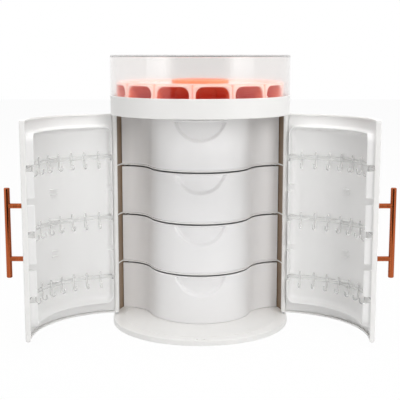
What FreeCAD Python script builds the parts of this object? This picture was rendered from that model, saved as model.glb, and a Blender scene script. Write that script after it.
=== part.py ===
import FreeCAD, Part
import math
import os
import re
import Sketcher

# Jewelry cabinet: a round tower of four drawers behind two curved doors that carry
# necklace hooks, with a turning coral insert of cups under a clear lift-off cover on top.
# The frame: Z up from the underside of the foot ring, -Y to the front, axis of the tower at X = Y = 0.
# Millimetres. The doors stand open at rest, as the cabinet is shown.

SIZES = {
    # round base and its rubber ring
    "base_radius": 120.0,
    "base_thickness": 6.8,
    "base_round": 1.0,
    "groove_inset": 16.0,
    "groove_width": 1.2,
    "groove_depth": 0.5,
    "foot_proud": 1.0,
    "foot_seat": 0.6,
    "foot_width": 8.0,
    "foot_inset": 8.0,
    "dimple_radius": 2.6,
    "dimple_depth": 1.0,
    "dimple_side": 4.8,
    # outer shell
    "shell_inset": 0.5,
    "shell_wall": 3.0,
    "shell_front": 9.2,
    "ledge_width": 2.0,
    "ledge_height": 2.0,
    "ledge_front": 45.0,
    "boss_radius": 2.8,
    "boss_height": 20.0,
    "boss_inset": 5.1,
    # the stack of drawers and shelves
    "drawer_height": 65.2,
    "drawer_spacing": 3.8,
    "drawer_lift": 0.3,
    "shelf_thickness": 1.8,
    "shelf_play": 0.1,
    "ceiling_gap": 1.5,
    # the S-shaped front line that shelves and drawers share, its bends as shares of base_radius
    "bulge_share": 0.59,
    "bulge_front_share": 0.4,
    "shoulder_share": 0.375,
    "shoulder_inset": 8.3,
    "corner_inset": 10.7,
    # drawer tray
    "flange_depth": 2.0,
    "tray_inset": 8.5,
    "tray_wall": 2.2,
    "tray_floor": 2.2,
    "tray_skirt": 3.5,
    "scoop_radius": 35.5,
    "scoop_drop": 24.5,
    "scoop_depth": 5.5,
    "scoop_round": 5.0,
    # runners on the base and the shelves
    "runner_share": 0.5,
    "runner_width": 3.0,
    "runner_height": 2.0,
    "runner_front": 4.0,
    "runner_end_inset": 38.0,
    "runner_play": 1.0,
    "runner_head": 0.7,
    "stop_length": 4.0,
    "stop_height": 3.2,
    # top tray
    "ring_height": 25.0,
    "ring_wall": 2.5,
    "plate_thickness": 2.4,
    "ceiling_thickness": 2.4,
    "ceiling_sink": 2.8,
    "skirt_wall": 2.4,
    "skirt_gap": 1.4,
    "tray_edge": 0.8,
    # clear cover
    "cover_lift": 0.3,
    "cover_height": 52.7,
    "cover_wall": 2.0,
    "cover_top": 2.2,
    "cover_round": 1.4,
    "lip_height": 3.0,
    "lip_wall": 1.4,
    "lip_gap": 0.5,
    # doors, pins and bores
    "door_inset": 0.4,
    "door_thickness": 6.6,
    "door_skin": 2.2,
    "door_lip": 2.0,
    "door_round": 1.2,
    "door_gap_low": 2.2,
    "door_gap_high": 0.6,
    "door_part_angle": 0.25,
    "hinge_back": 4.8,
    "open_angle": 80.0,
    "pin_radius": 1.5,
    "pin_length": 19.0,
    "pin_in_door": 12.0,
    "pin_in_base": 6.0,
    "running_gap": 0.05,
    "end_gap": 0.3,
    "nub_radius": 1.6,
    # liner of a door
    "liner_play": 0.1,
    "liner_sink": 0.4,
    "liner_slope_rise": 2.6,
    "liner_slope_length": 14.0,
    "recess_depth": 2.3,
    "recess_end_margin": 18.0,
    "recess_side_margin": 8.0,
    "recess_hinge_margin": 3.2,
    "recess_round": 9.0,
    "ridge_width": 2.4,
    "ridge_height": 10.0,
    "notch_length": 8.0,
    "notch_past": 0.3,
    "hook_pitch": 41.5,
    "hook_top_level": 228.0,
    "bracket_angle": 46.5,
    "bracket_width": 12.0,
    # hook bars
    "bar_height": 5.0,
    "bar_thickness": 1.5,
    "bar_float": 0.3,
    "bar_play": 0.15,
    "hook_root": 0.7,
    "hook_thickness": 1.5,
    "hook_width": 2.4,
    "hook_rise": 7.5,
    "hook_drop": 11.0,
    "hook_bend": 2.6,
    "hook_tip": 3.5,
    "hook_first_angle": 21.5,
    "hook_last_angle": 81.0,
    # handles
    "grip_radius": 3.7,
    "grip_low": 87.2,
    "grip_high": 201.9,
    "grip_round": 1.4,
    "grip_reach": 20.5,
    "grip_angle": 11.0,
    "post_radius": 3.2,
    "post_low": 111.5,
    "post_high": 179.0,
    "handle_screw_radius": 2.0,
    "handle_screw_length": 14.0,
    "handle_head_radius": 3.5,
    "handle_head_height": 1.0,
    # self-tapping screws
    "screw_radius": 1.3,
    "screw_length": 14.0,
    "screw_head_radius": 2.2,
    "screw_head_height": 1.6,
    "screw_head_sink": 0.4,
    "pilot_spare": 2.0,
    # spindle of the insert
    "spindle_radius": 3.0,
    "spindle_foot_radius": 12.0,
    "spindle_foot_height": 2.0,
    "spindle_collar_radius": 8.0,
    "spindle_collar_height": 3.1,
    "spindle_rise": 9.0,
    "spindle_stub_radius": 2.5,
    # coral insert
    "insert_inset": 8.0,
    "insert_low": 0.6,
    "insert_height": 40.0,
    "deck_thickness": 3.0,
    "deck_play": 0.1,
    "deck_edge": 1.2,
    "insert_floor": 2.5,
    "cup_floor": 2.0,
    "cup_front": 3.6,
    "cup_lip": 10.0,
    "cup_back": 3.0,
    "cup_root_inset": 50.0,
    "cup_roof": 1.0,
    "cup_web": 8.4,
    "cup_play": 0.1,
    "cup_round": 10.0,
    "cup_root_round": 9.0,
    "cup_phase": 7.86,
    "collar_radius": 38.0,
    "collar_rise": 2.8,
    "collar_wall": 2.5,
    "bowl_floor": 2.9,
    "hub_radius": 9.0,
    # how far cutters pass the faces they open, and joined shapes reach into each other
    "cut_past": 2.0,
    "turn_past": 0.5,
    "weld_depth": 0.3,
}
LEVELS = 4
CUPS = 14
HOOKS = 7
HOOK_LEVELS = 5
SCREW_ANGLES = (20.0, 60.0)
# How near two lengths or angles are to count as the same
CLOSE = 0.01

doc = FreeCAD.newDocument("JewelryCabinet")
sheet = doc.addObject("Spreadsheet::Sheet", "Sizes")
for row, (alias, size) in enumerate(SIZES.items(), start=1):
    sheet.set("A%d" % row, alias)
    sheet.set("B%d" % row, str(size))
    sheet.setAlias("B%d" % row, alias)
doc.recompute()

Z_AXIS = FreeCAD.Vector(0, 0, 1)
NO_TURN = FreeCAD.Rotation()
ALONG_Y = FreeCAD.Rotation(FreeCAD.Vector(1, 0, 0), -90)
ALONG_X = FreeCAD.Rotation(FreeCAD.Vector(0, 1, 0), 90)
sub_parts = []


def bound(text):
    """The formula with each size named as its cell of the sheet."""
    return re.sub(r"[a-z]+(_[a-z]+)+", lambda word: "Sizes." + word.group(0), text)


def number(text):
    """The value of a formula of sizes."""
    return float(sheet.evalExpression(bound(text)))


def place(thing, where, turn=NO_TURN):
    thing.Placement = FreeCAD.Placement(FreeCAD.Vector(), turn)
    for letter, text in zip("xyz", where):
        thing.setExpression("Placement.Base." + letter, bound(text))
    return thing


def cylinder(name, radius, height, where=("0", "0", "0"), turn=NO_TURN):
    thing = doc.addObject("Part::Cylinder", name)
    thing.setExpression("Radius", bound(radius))
    thing.setExpression("Height", bound(height))
    return place(thing, where, turn)


def box(name, size, where):
    thing = doc.addObject("Part::Box", name)
    for side, text in zip(("Length", "Width", "Height"), size):
        thing.setExpression(side, bound(text))
    return place(thing, where)


def fuse(name, *pieces):
    thing = doc.addObject("Part::MultiFuse", name)
    thing.Shapes = list(pieces)
    thing.Refine = True
    return thing


def cut(name, base, *tools):
    thing = doc.addObject("Part::Cut", name)
    thing.Base = base
    thing.Tool = tools[0] if len(tools) == 1 else fuse(name + "_tools", *tools)
    return thing


def common(name, *pieces):
    thing = doc.addObject("Part::MultiCommon", name)
    thing.Shapes = list(pieces)
    return thing


def rounded(name, base, radius, wanted):
    """Rounds the edges of base that wanted picks."""
    doc.recompute()
    size = number(radius)
    thing = doc.addObject("Part::Fillet", name)
    thing.Base = base
    thing.Edges = [(i, size, size) for i, edge in enumerate(base.Shape.Edges, start=1) if wanted(edge)]
    return thing


def is_ring(edge, radius, level):
    """Whether the edge is part of a level circle round the tower's axis."""
    if not isinstance(edge.Curve, Part.Circle):
        return False
    on_axis = edge.Curve.Center.sub(FreeCAD.Vector(0, 0, level)).Length < CLOSE
    return on_axis and abs(edge.Curve.Radius - radius) < CLOSE


def origin_feature(body, role):
    return [feature for feature in body.Origin.OriginFeatures if feature.Role == role][0]


def drawing(body, name, plane, corners, bends=None, lift="0"):
    """A closed sketch through the corners. bends gives the edges that are arcs, each less than
    half a circle: the number of the corner where the arc starts, with its radius and the side
    on which it bulges, 1 for the left of the way along the outline and -1 for the right."""
    bends = bends or {}
    sketch = body.newObject("Sketcher::SketchObject", name)
    sketch.AttachmentSupport = [(origin_feature(body, plane), "")]
    sketch.MapMode = "FlatFace"
    sketch.setExpression("AttachmentOffset.Base.z", bound(lift))
    points = [FreeCAD.Vector(number(x), number(y), 0) for x, y in corners]
    for i, start in enumerate(points):
        end = points[(i + 1) % len(points)]
        if i in bends:
            radius, side = number(bends[i][0]), bends[i][1]
            chord = end.sub(start)
            across = FreeCAD.Vector(-chord.y, chord.x, 0).normalize()
            middle = start.add(end).multiply(0.5)
            rise = radius - math.sqrt(radius ** 2 - chord.Length ** 2 / 4)
            top = middle.add(across.multiply(side * rise))
            sketch.addGeometry(Part.Arc(start, top, end), False)
        else:
            sketch.addGeometry(Part.LineSegment(start, end), False)
    ends = []
    for i, start in enumerate(points):
        forward = sketch.getPoint(i, 1).sub(start).Length < CLOSE
        ends.append((1, 2) if forward else (2, 1))
    for i in range(len(points)):
        follower = (i + 1) % len(points)
        sketch.addConstraint(Sketcher.Constraint("Coincident", i, ends[i][1], follower, ends[follower][0]))
    for i, (x, y) in enumerate(corners):
        for kind, text, value in (("DistanceX", x, points[i].x), ("DistanceY", y, points[i].y)):
            index = sketch.addConstraint(Sketcher.Constraint(kind, -1, 1, i, ends[i][0], value))
            sketch.setExpression("Constraints[%d]" % index, bound(text))
    for i, bend in bends.items():
        index = sketch.addConstraint(Sketcher.Constraint("Radius", i, number(bend[0])))
        sketch.setExpression("Constraints[%d]" % index, bound(bend[0]))
    return sketch


def turned(name, corners, bends=None, sweep="360", start="0"):
    """A body turned round the tower's axis from a section in radius and height."""
    body = doc.addObject("PartDesign::Body", name)
    sketch = drawing(body, name + "_section", "XZ_Plane", corners, bends)
    turn = body.newObject("PartDesign::Revolution", name + "_turn")
    turn.Profile = sketch
    turn.ReferenceAxis = (sketch, ["V_Axis"])
    turn.setExpression("Angle", bound(sweep))
    body.Placement = FreeCAD.Placement(FreeCAD.Vector(), FreeCAD.Rotation(Z_AXIS, number(start)))
    return body


def padded(name, corners, bends, low, height):
    """A body raised straight up from an outline in plan."""
    body = doc.addObject("PartDesign::Body", name)
    sketch = drawing(body, name + "_plan", "XY_Plane", corners, bends, low)
    pad = body.newObject("PartDesign::Pad", name + "_pad")
    pad.Profile = sketch
    pad.setExpression("Length", bound(height))
    return body


def sector(name, inner, outer, low, height, start, sweep):
    """Part of a tube round the tower's axis, between two angles."""
    corners = [(inner, low), (outer, low)]
    corners += [(outer, "%s + %s" % (low, height)), (inner, "%s + %s" % (low, height))]
    return turned(name, corners, sweep=sweep, start=start)


def keep(thing, label):
    thing.Label = label
    sub_parts.append(thing)
    return thing


# Heights that several pieces share
FLOOR = "(foot_proud + base_thickness)"
LEVEL_PITCH = "(drawer_height + drawer_spacing)"
TOP_LEVEL = "(%s + %d * %s)" % (FLOOR, LEVELS - 1, LEVEL_PITCH)
CEILING = "(%s + drawer_lift + drawer_height + ceiling_gap)" % TOP_LEVEL
SHELL_TOP = "(%s + ceiling_thickness + ceiling_sink)" % CEILING
PLATE_TOP = "(%s + plate_thickness)" % SHELL_TOP
RING_TOP = "(%s + ring_height)" % SHELL_TOP
TRAY_FLOOR_TOP = "(%s + ceiling_thickness)" % CEILING

# Radii that several pieces share
SHELL_OUTER = "(base_radius - shell_inset)"
SHELL_INNER = "(base_radius - shell_inset - shell_wall)"
RING_INNER = "(base_radius - ring_wall)"
TRAY_RADIUS = "(base_radius - tray_inset)"
BOSS_CIRCLE = "(base_radius - boss_inset)"
RUNNER_SIDE = "(base_radius * runner_share)"

# Doors
DOOR_OUTER = "(base_radius - door_inset)"
DOOR_INNER = "(base_radius - door_inset - door_thickness)"
DOOR_MIDDLE = "(base_radius - door_inset - door_thickness / 2)"
DOOR_LOW = "(%s + door_gap_low)" % FLOOR
DOOR_TOP = "(%s - door_gap_high)" % SHELL_TOP
HINGE_SIDE = "sqrt(%s^2 - hinge_back^2)" % DOOR_MIDDLE
HINGE_ANGLE = 90 + math.degrees(math.asin(number("hinge_back / %s" % DOOR_MIDDLE)))

# The S-shaped front line
BULGE_RADIUS = "(base_radius * bulge_share)"
BULGE_FRONT = "(base_radius * bulge_front_share)"
BULGE_Y = "(%s - %s)" % (BULGE_RADIUS, BULGE_FRONT)
SHOULDER_RADIUS = "(base_radius * shoulder_share)"
SHOULDER_SIDE = "(base_radius - shoulder_inset)"
BENDS_SUM = "(%s + %s)" % (BULGE_RADIUS, SHOULDER_RADIUS)
SHOULDER_Y = "(%s - sqrt(%s^2 - %s^2))" % (BULGE_Y, BENDS_SUM, SHOULDER_SIDE)
CORNER_SIDE = "(base_radius - corner_inset)"
CORNER_Y = "(%s + sqrt(%s^2 - (%s - %s)^2))" % (SHOULDER_Y, SHOULDER_RADIUS, SHOULDER_SIDE, CORNER_SIDE)


def level(n):
    """Height of the floor under the drawer of level n, counted up from 0."""
    return "(%s + %d * %s)" % (FLOOR, n, LEVEL_PITCH)


def front_line(inset, back_radius, flange=None):
    """Outline in plan of a shelf or tray: bulge, two hollow shoulders and a round back.
    inset moves the whole line inwards; a flange keeps the shoulder's corner square."""
    bulge = "(%s - %s)" % (BULGE_RADIUS, inset)
    shoulder = "(%s + %s)" % (SHOULDER_RADIUS, inset)
    share = "(%s / %s)" % (bulge, BENDS_SUM)
    join_x = "(%s * %s)" % (SHOULDER_SIDE, share)
    join_y = "(%s + (%s - %s) * %s)" % (BULGE_Y, SHOULDER_Y, BULGE_Y, share)
    if flange:
        back_y = "(%s + %s)" % (CORNER_Y, flange)
        back_x = "sqrt(%s^2 - %s^2)" % (back_radius, back_y)
        right = [(CORNER_SIDE, CORNER_Y), (CORNER_SIDE, back_y), (back_x, back_y)]
    else:
        far = "(%s^2 + %s^2)" % (SHOULDER_SIDE, SHOULDER_Y)
        along = "((%s^2 - %s^2 + %s) / (2 * %s))" % (back_radius, shoulder, far, far)
        across = "sqrt(%s^2 / %s - %s^2)" % (back_radius, far, along)
        corner_x = "(%s * %s - %s * %s)" % (along, SHOULDER_SIDE, across, SHOULDER_Y)
        corner_y = "(%s * %s + %s * %s)" % (along, SHOULDER_Y, across, SHOULDER_SIDE)
        right = [(corner_x, corner_y)]
    left = [("-1 * %s" % x, y) for x, y in reversed(right)]
    corners = [("-1 * %s" % join_x, join_y), (join_x, join_y)] + right + left
    back_start = 1 + len(right)
    bends = {
        0: (bulge, -1),
        1: (shoulder, 1),
        back_start: (back_radius, -1),
        len(corners) - 1: (shoulder, 1),
    }
    return corners, bends


def screw_places():
    """Angles from +X of the screws, in pairs either side of the back."""
    return [90 + side * angle for angle in SCREW_ANGLES for side in (-1, 1)]


def round_axis(radius, angle):
    """Formulas for a place at a radius and a fixed angle from +X."""
    return "(%s * cos(%g))" % (radius, angle), "(%s * sin(%g))" % (radius, angle)


def make_runners(name, floor):
    """Two guide rails with a stop block at the front end, standing on a floor."""
    pieces = []
    for side, sign in (("left", "-"), ("right", "")):
        low_x = "%s%s - runner_width / 2" % (sign, RUNNER_SIDE)
        length = "runner_front + base_radius - runner_end_inset"
        rail = box(name + "_rail_" + side, ("runner_width", length, "runner_height"),
                   (low_x, "-runner_front", floor))
        stop = box(name + "_stop_" + side, ("runner_width", "stop_length", "stop_height"),
                   (low_x, "-runner_front", floor))
        pieces += [rail, stop]
    return pieces


def make_base():
    foot_outer = "(base_radius - foot_inset)"
    foot_inner = "(base_radius - foot_inset - foot_width)"
    seat = "(foot_proud + foot_seat)"
    groove_outer = "(base_radius - groove_inset + groove_width / 2)"
    groove_inner = "(base_radius - groove_inset - groove_width / 2)"
    groove_floor = "(%s - groove_depth)" % FLOOR
    plate = turned("base_disc", [
        ("0", "foot_proud"), (foot_inner, "foot_proud"), (foot_inner, seat), (foot_outer, seat),
        (foot_outer, "foot_proud"), ("base_radius", "foot_proud"), ("base_radius", FLOOR),
        (groove_outer, FLOOR), (groove_outer, groove_floor), (groove_inner, groove_floor),
        (groove_inner, FLOOR), ("0", FLOOR)])
    edge = number("base_radius"), number(FLOOR)
    plate = rounded("base_edge", plate, "base_round", lambda one: is_ring(one, *edge))
    holes = []
    for side, sign in (("left", "-"), ("right", "")):
        dimple_y = "-sqrt(%s^2 - dimple_side^2)" % DOOR_MIDDLE
        holes.append(cylinder("dimple_" + side, "dimple_radius", "2 * dimple_depth",
                              (sign + "dimple_side", dimple_y, FLOOR + " - dimple_depth")))
        holes.append(cylinder("base_pin_hole_" + side, "pin_radius + running_gap", "2 * pin_in_base",
                              (sign + HINGE_SIDE, "hinge_back", FLOOR + " - pin_in_base")))
    for i, angle in enumerate(screw_places()):
        x, y = round_axis(BOSS_CIRCLE, angle)
        holes.append(cylinder("base_screw_hole_%d" % i, "screw_radius + running_gap", "2 * " + FLOOR,
                              (x, y, "0")))
        depth = "screw_head_sink + screw_head_height"
        holes.append(cylinder("base_screw_seat_%d" % i, "screw_head_radius + end_gap", depth,
                              (x, y, "foot_proud")))
    whole = fuse("base_with_runners", plate, *make_runners("base", FLOOR))
    keep(cut("base_cut", whole, *holes), "base_plate")
    keep(turned("foot_turned", [
        (foot_inner, "0"), (foot_outer, "0"), (foot_outer, seat), (foot_inner, seat)]), "foot_ring")


def make_shell():
    height = "(%s - %s)" % (SHELL_TOP, FLOOR)
    tube = sector("shell_tube", SHELL_INNER, SHELL_OUTER, FLOOR, height, "0", "360")
    back = box("shell_back", ("2 * base_radius", "base_radius", height),
               ("-base_radius", "shell_front", FLOOR))
    wall = common("shell_wall", tube, back)
    extras = []
    ledge_inner = "(%s - ledge_width)" % SHELL_INNER
    for n in range(1, LEVELS):
        low = level(n) + " - shelf_thickness - ledge_height"
        ring = sector("ledge_ring_%d" % n, ledge_inner, SHELL_INNER + " + shell_wall / 2",
                      low, "ledge_height", "0", "360")
        part = box("ledge_back_%d" % n, ("2 * base_radius", "base_radius", "ledge_height"),
                   ("-base_radius", "ledge_front", low))
        extras.append(common("ledge_%d" % n, ring, part))
    holes = []
    pilot = "(screw_length + pilot_spare)"
    for i, angle in enumerate(screw_places()):
        x, y = round_axis(BOSS_CIRCLE, angle)
        for end, low in (("low", FLOOR), ("high", "%s - boss_height" % SHELL_TOP)):
            extras.append(cylinder("boss_%s_%d" % (end, i), "boss_radius", "boss_height", (x, y, low)))
        for end, low in (("low", FLOOR), ("high", "%s - %s" % (PLATE_TOP, pilot))):
            holes.append(cylinder("pilot_%s_%d" % (end, i), "screw_radius + running_gap", pilot,
                                  (x, y, low)))
    keep(cut("shell_cut", fuse("shell_whole", wall, *extras), *holes), "body_shell")


def make_shelf(n, label):
    corners, bends = front_line("0", "(%s - shelf_play)" % SHELL_INNER)
    low = level(n) + " - shelf_thickness"
    plate = padded("shelf_plate_%d" % n, corners, bends, low, "shelf_thickness")
    keep(fuse("shelf_whole_%d" % n, plate, *make_runners("shelf_%d" % n, level(n))), label)


def make_drawer(n, name):
    bottom = "(%s + drawer_lift)" % level(n)
    corners, bends = front_line("0", TRAY_RADIUS, "flange_depth")
    outer = padded(name + "_outer", corners, bends, bottom, "drawer_height")
    corners, bends = front_line("tray_wall", "(%s - tray_wall)" % TRAY_RADIUS)
    inner_low = "(%s + tray_skirt + tray_floor)" % bottom
    inner = padded(name + "_inner", corners, bends, inner_low, "drawer_height")
    under = padded(name + "_under", corners, bends, "(%s - cut_past)" % bottom, "tray_skirt + cut_past")
    scoop_level = "(%s + drawer_height - scoop_drop + scoop_radius)" % bottom
    scoop_spot = ("0", "-2 * " + BULGE_FRONT, scoop_level)
    reach = "2 * " + BULGE_FRONT
    dish = cylinder(name + "_dish", "scoop_radius", reach, scoop_spot, ALONG_Y)
    core = cylinder(name + "_core", BULGE_RADIUS + " - scoop_depth", "2 * drawer_height",
                    ("0", BULGE_Y, bottom))
    dish = cut(name + "_dish_back", dish, core)
    # The dish runs into its back in a hollow round
    dish = rounded(name + "_dish_round", dish, "scoop_round", is_dish_edge)
    boss = cylinder(name + "_boss", "scoop_radius + tray_wall", reach, scoop_spot, ALONG_Y)
    behind = cylinder(name + "_behind", BULGE_RADIUS + " - scoop_depth - tray_wall", "2 * drawer_height",
                      ("0", BULGE_Y, bottom))
    cavity = cut(name + "_cavity", inner, cut(name + "_boss_shell", boss, behind))
    notches = []
    for side, sign in (("left", "-"), ("right", "")):
        width = "(runner_width + 2 * runner_play)"
        height = "(runner_height + runner_head)"
        half = TRAY_RADIUS + " / 2"
        notches.append(box(name + "_notch_" + side, (width, half, height),
                           ("%s%s - %s / 2" % (sign, RUNNER_SIDE, width), half, level(n))))
    keep(cut(name + "_cut", outer, cavity, under, dish, *notches), name)


def is_dish_edge(edge):
    """The edge where the wall of the scoop meets its back: neither straight nor a plain circle."""
    middle = edge.valueAt((edge.FirstParameter + edge.LastParameter) / 2)
    plain = isinstance(edge.Curve, (Part.Line, Part.Circle))
    return middle.y > -number(BULGE_FRONT + " + cut_past") and not plain


def make_top_tray():
    skirt_outer = "(%s - skirt_gap)" % DOOR_INNER
    skirt_inner = "(%s - skirt_gap - skirt_wall)" % DOOR_INNER
    hole = "(spindle_stub_radius + running_gap)"
    tray = turned("tray_turned", [
        (hole, CEILING), (skirt_outer, CEILING), (skirt_outer, SHELL_TOP), ("base_radius", SHELL_TOP),
        ("base_radius", RING_TOP), (RING_INNER, RING_TOP), (RING_INNER, PLATE_TOP),
        (skirt_inner, PLATE_TOP), (skirt_inner, TRAY_FLOOR_TOP), (hole, TRAY_FLOOR_TOP)])
    outer = number("base_radius")
    levels = number(RING_TOP), number(SHELL_TOP)
    tray = rounded("tray_rounded", tray, "tray_edge",
                   lambda one: any(is_ring(one, outer, height) for height in levels))
    depth = "(pin_length - pin_in_door - door_gap_high)"
    bosses = []
    holes = []
    for side, sign in (("left", "-"), ("right", "")):
        x = sign + HINGE_SIDE
        bosses.append(cylinder("tray_pin_boss_" + side, "door_thickness / 2", depth + " + ceiling_thickness",
                               (x, "hinge_back", SHELL_TOP)))
        holes.append(cylinder("tray_pin_hole_" + side, "pin_radius + running_gap", depth + " + cut_past",
                              (x, "hinge_back", SHELL_TOP + " - cut_past")))
    for i, angle in enumerate(screw_places()):
        x, y = round_axis(BOSS_CIRCLE, angle)
        holes.append(cylinder("tray_screw_hole_%d" % i, "screw_radius + running_gap", "2 * plate_thickness",
                              (x, y, SHELL_TOP + " - plate_thickness / 2")))
    keep(cut("tray_cut", fuse("tray_whole", tray, *bosses), *holes), "top_tray")


def make_screw(name, x, y, top_of_head, up):
    """A pan head screw; up says whether its point looks up."""
    if up:
        head_low = top_of_head
        shank_low = "%s + screw_head_height" % top_of_head
    else:
        head_low = "%s - screw_head_height" % top_of_head
        shank_low = "%s - screw_head_height - screw_length" % top_of_head
    head = cylinder(name + "_head", "screw_head_radius", "screw_head_height", (x, y, head_low))
    shank = cylinder(name + "_shank", "screw_radius", "screw_length", (x, y, shank_low))
    return fuse(name, head, shank)


def make_fasteners():
    screws = []
    for i, angle in enumerate(screw_places()):
        x, y = round_axis(BOSS_CIRCLE, angle)
        screws.append(make_screw("screw_low_%d" % i, x, y, "foot_proud + screw_head_sink", True))
        screws.append(make_screw("screw_high_%d" % i, x, y, PLATE_TOP + " + screw_head_height", False))
    group = doc.addObject("Part::Compound", "screw_group")
    group.Links = screws
    keep(group, "assembly_screws")
    pins = []
    for side, sign in (("left", "-"), ("right", "")):
        x = sign + HINGE_SIDE
        pins.append(cylinder("pin_low_" + side, "pin_radius", "pin_length",
                             (x, "hinge_back", FLOOR + " - pin_in_base")))
        pins.append(cylinder("pin_high_" + side, "pin_radius", "pin_length",
                             (x, "hinge_back", DOOR_TOP + " - pin_in_door")))
    group = doc.addObject("Part::Compound", "pin_group")
    group.Links = pins
    keep(group, "hinge_pins")


def in_door(thing, label):
    """Stands a right hand door piece open at its hinge, and makes its mirror image on the left.
    In the door's own frame the doors meet at the +X side and the hinge is near +Y."""
    hinge = FreeCAD.Vector(number(HINGE_SIDE), number("hinge_back"), 0)
    closed = FreeCAD.Placement(FreeCAD.Vector(), FreeCAD.Rotation(Z_AXIS, -90))
    swing = FreeCAD.Placement(FreeCAD.Vector(), FreeCAD.Rotation(Z_AXIS, number("open_angle")), hinge)
    thing.Placement = swing.multiply(closed)
    keep(thing, "right_" + label)
    mirror = doc.addObject("Part::Mirroring", "left_" + label)
    mirror.Source = thing
    mirror.Normal = FreeCAD.Vector(1, 0, 0)
    keep(mirror, "left_" + label)


def arc_angle(length, radius):
    """Degrees that an arc of a length takes at a radius."""
    return "(%s / %s * 180 / pi)" % (length, radius)


BARREL = "(door_thickness / 2)"
HINGE_IN_DOOR = ("-hinge_back", HINGE_SIDE)
LINER_FACE = "(%s + liner_sink)" % DOOR_INNER
LINER_BACK = "(%s - door_skin - liner_play)" % DOOR_OUTER
LINER_START = "(door_part_angle + %s)" % arc_angle("(door_lip + liner_play)", DOOR_INNER)
LINER_END = "(%g - %s)" % (HINGE_ANGLE, arc_angle("(door_thickness / 2 + liner_play)", DOOR_INNER))
LINER_LOW = "(%s + door_lip + liner_play)" % DOOR_LOW
LINER_TOP = "(%s - door_lip - liner_play)" % DOOR_TOP
RECESS_FLOOR = "(%s + recess_depth)" % LINER_FACE
RECESS_START = "(door_part_angle + %s)" % arc_angle("recess_side_margin", DOOR_INNER)
RECESS_END = "(%s - %s)" % (LINER_END, arc_angle("recess_hinge_margin", DOOR_INNER))
RECESS_LOW = "(%s + recess_end_margin)" % DOOR_LOW
RECESS_HEIGHT = "(%s - recess_end_margin - %s)" % (DOOR_TOP, RECESS_LOW)
RIDGE_CREST = "(%s - ridge_height)" % LINER_FACE
RIDGE_ANGLE = arc_angle("ridge_width", LINER_FACE)
NOTCH_ANGLE = arc_angle("(ridge_width + notch_past)", LINER_FACE)
BAR_OUTER = "(%s - bar_float)" % RECESS_FLOOR
BAR_INNER = "(%s - bar_float - bar_thickness)" % RECESS_FLOOR


def make_door_shell():
    height = "(%s - %s)" % (DOOR_TOP, DOOR_LOW)
    skin_inner = "(%s - door_skin)" % DOOR_OUTER
    sweep = "(%g - door_part_angle)" % HINGE_ANGLE
    skin = turned("door_skin_turned", [
        (DOOR_INNER, DOOR_LOW), (DOOR_OUTER, DOOR_LOW), (DOOR_OUTER, DOOR_TOP), (DOOR_INNER, DOOR_TOP),
        (DOOR_INNER, DOOR_TOP + " - door_lip"), (skin_inner, DOOR_TOP + " - door_lip"),
        (skin_inner, DOOR_LOW + " + door_lip"), (DOOR_INNER, DOOR_LOW + " + door_lip")],
        sweep=sweep, start="door_part_angle")
    edge_wall = sector("door_edge_wall", DOOR_INNER, DOOR_OUTER, DOOR_LOW, height,
                       "door_part_angle", arc_angle("door_lip", DOOR_OUTER))
    barrel = cylinder("door_barrel", BARREL, height, (*HINGE_IN_DOOR, DOOR_LOW))
    nub_at = ("sqrt(%s^2 - dimple_side^2)" % DOOR_MIDDLE, "dimple_side", FLOOR + " + end_gap")
    nub = cylinder("door_nub", "nub_radius", "door_gap_low", nub_at)
    whole = fuse("door_whole", skin, edge_wall, barrel, nub)
    whole = rounded("door_edges", whole, "door_round", is_free_corner)
    bore = "pin_radius + running_gap"
    depth = "(pin_in_door + end_gap)"
    low_depth = "(pin_length - pin_in_base - door_gap_low + end_gap)"
    holes = [
        cylinder("door_bore_low", bore, low_depth + " + cut_past",
                 (*HINGE_IN_DOOR, DOOR_LOW + " - cut_past")),
        cylinder("door_bore_high", bore, depth + " + cut_past",
                 (*HINGE_IN_DOOR, DOOR_TOP + " - %s" % depth)),
    ]
    for name, height_of in (("low", "post_low"), ("high", "post_high")):
        holes.append(radial("door_screw_hole_" + name, "handle_screw_radius + running_gap",
                            "(%s - cut_past)" % LINER_BACK, "(%s + cut_past)" % DOOR_OUTER, height_of))
    in_door(cut("door_shell_cut", whole, *holes), "door_shell")


def is_free_corner(edge):
    """An upright edge of the door's free end."""
    if not isinstance(edge.Curve, Part.Line) or edge.Length < number(LEVEL_PITCH):
        return False
    spot = edge.valueAt(edge.FirstParameter)
    radii = number(DOOR_OUTER), number(DOOR_INNER)
    reach = math.hypot(spot.x, spot.y)
    away = math.degrees(math.atan2(spot.y, spot.x)) - number("door_part_angle")
    return abs(away) < CLOSE and any(abs(reach - radius) < CLOSE for radius in radii)


def radial(name, radius, near, far, height):
    """A cylinder along the radius at the handle's angle, in the door's frame."""
    angle = number("grip_angle")
    turn = FreeCAD.Rotation(Z_AXIS, angle).multiply(ALONG_X)
    x, y = round_axis(near, angle)
    return cylinder(name, radius, "(%s - %s)" % (far, near), (x, y, height), turn)


def hook_level(n):
    """Height of the middle of hook level n, counted down from 0."""
    return "(hook_top_level - %d * hook_pitch)" % n


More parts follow.
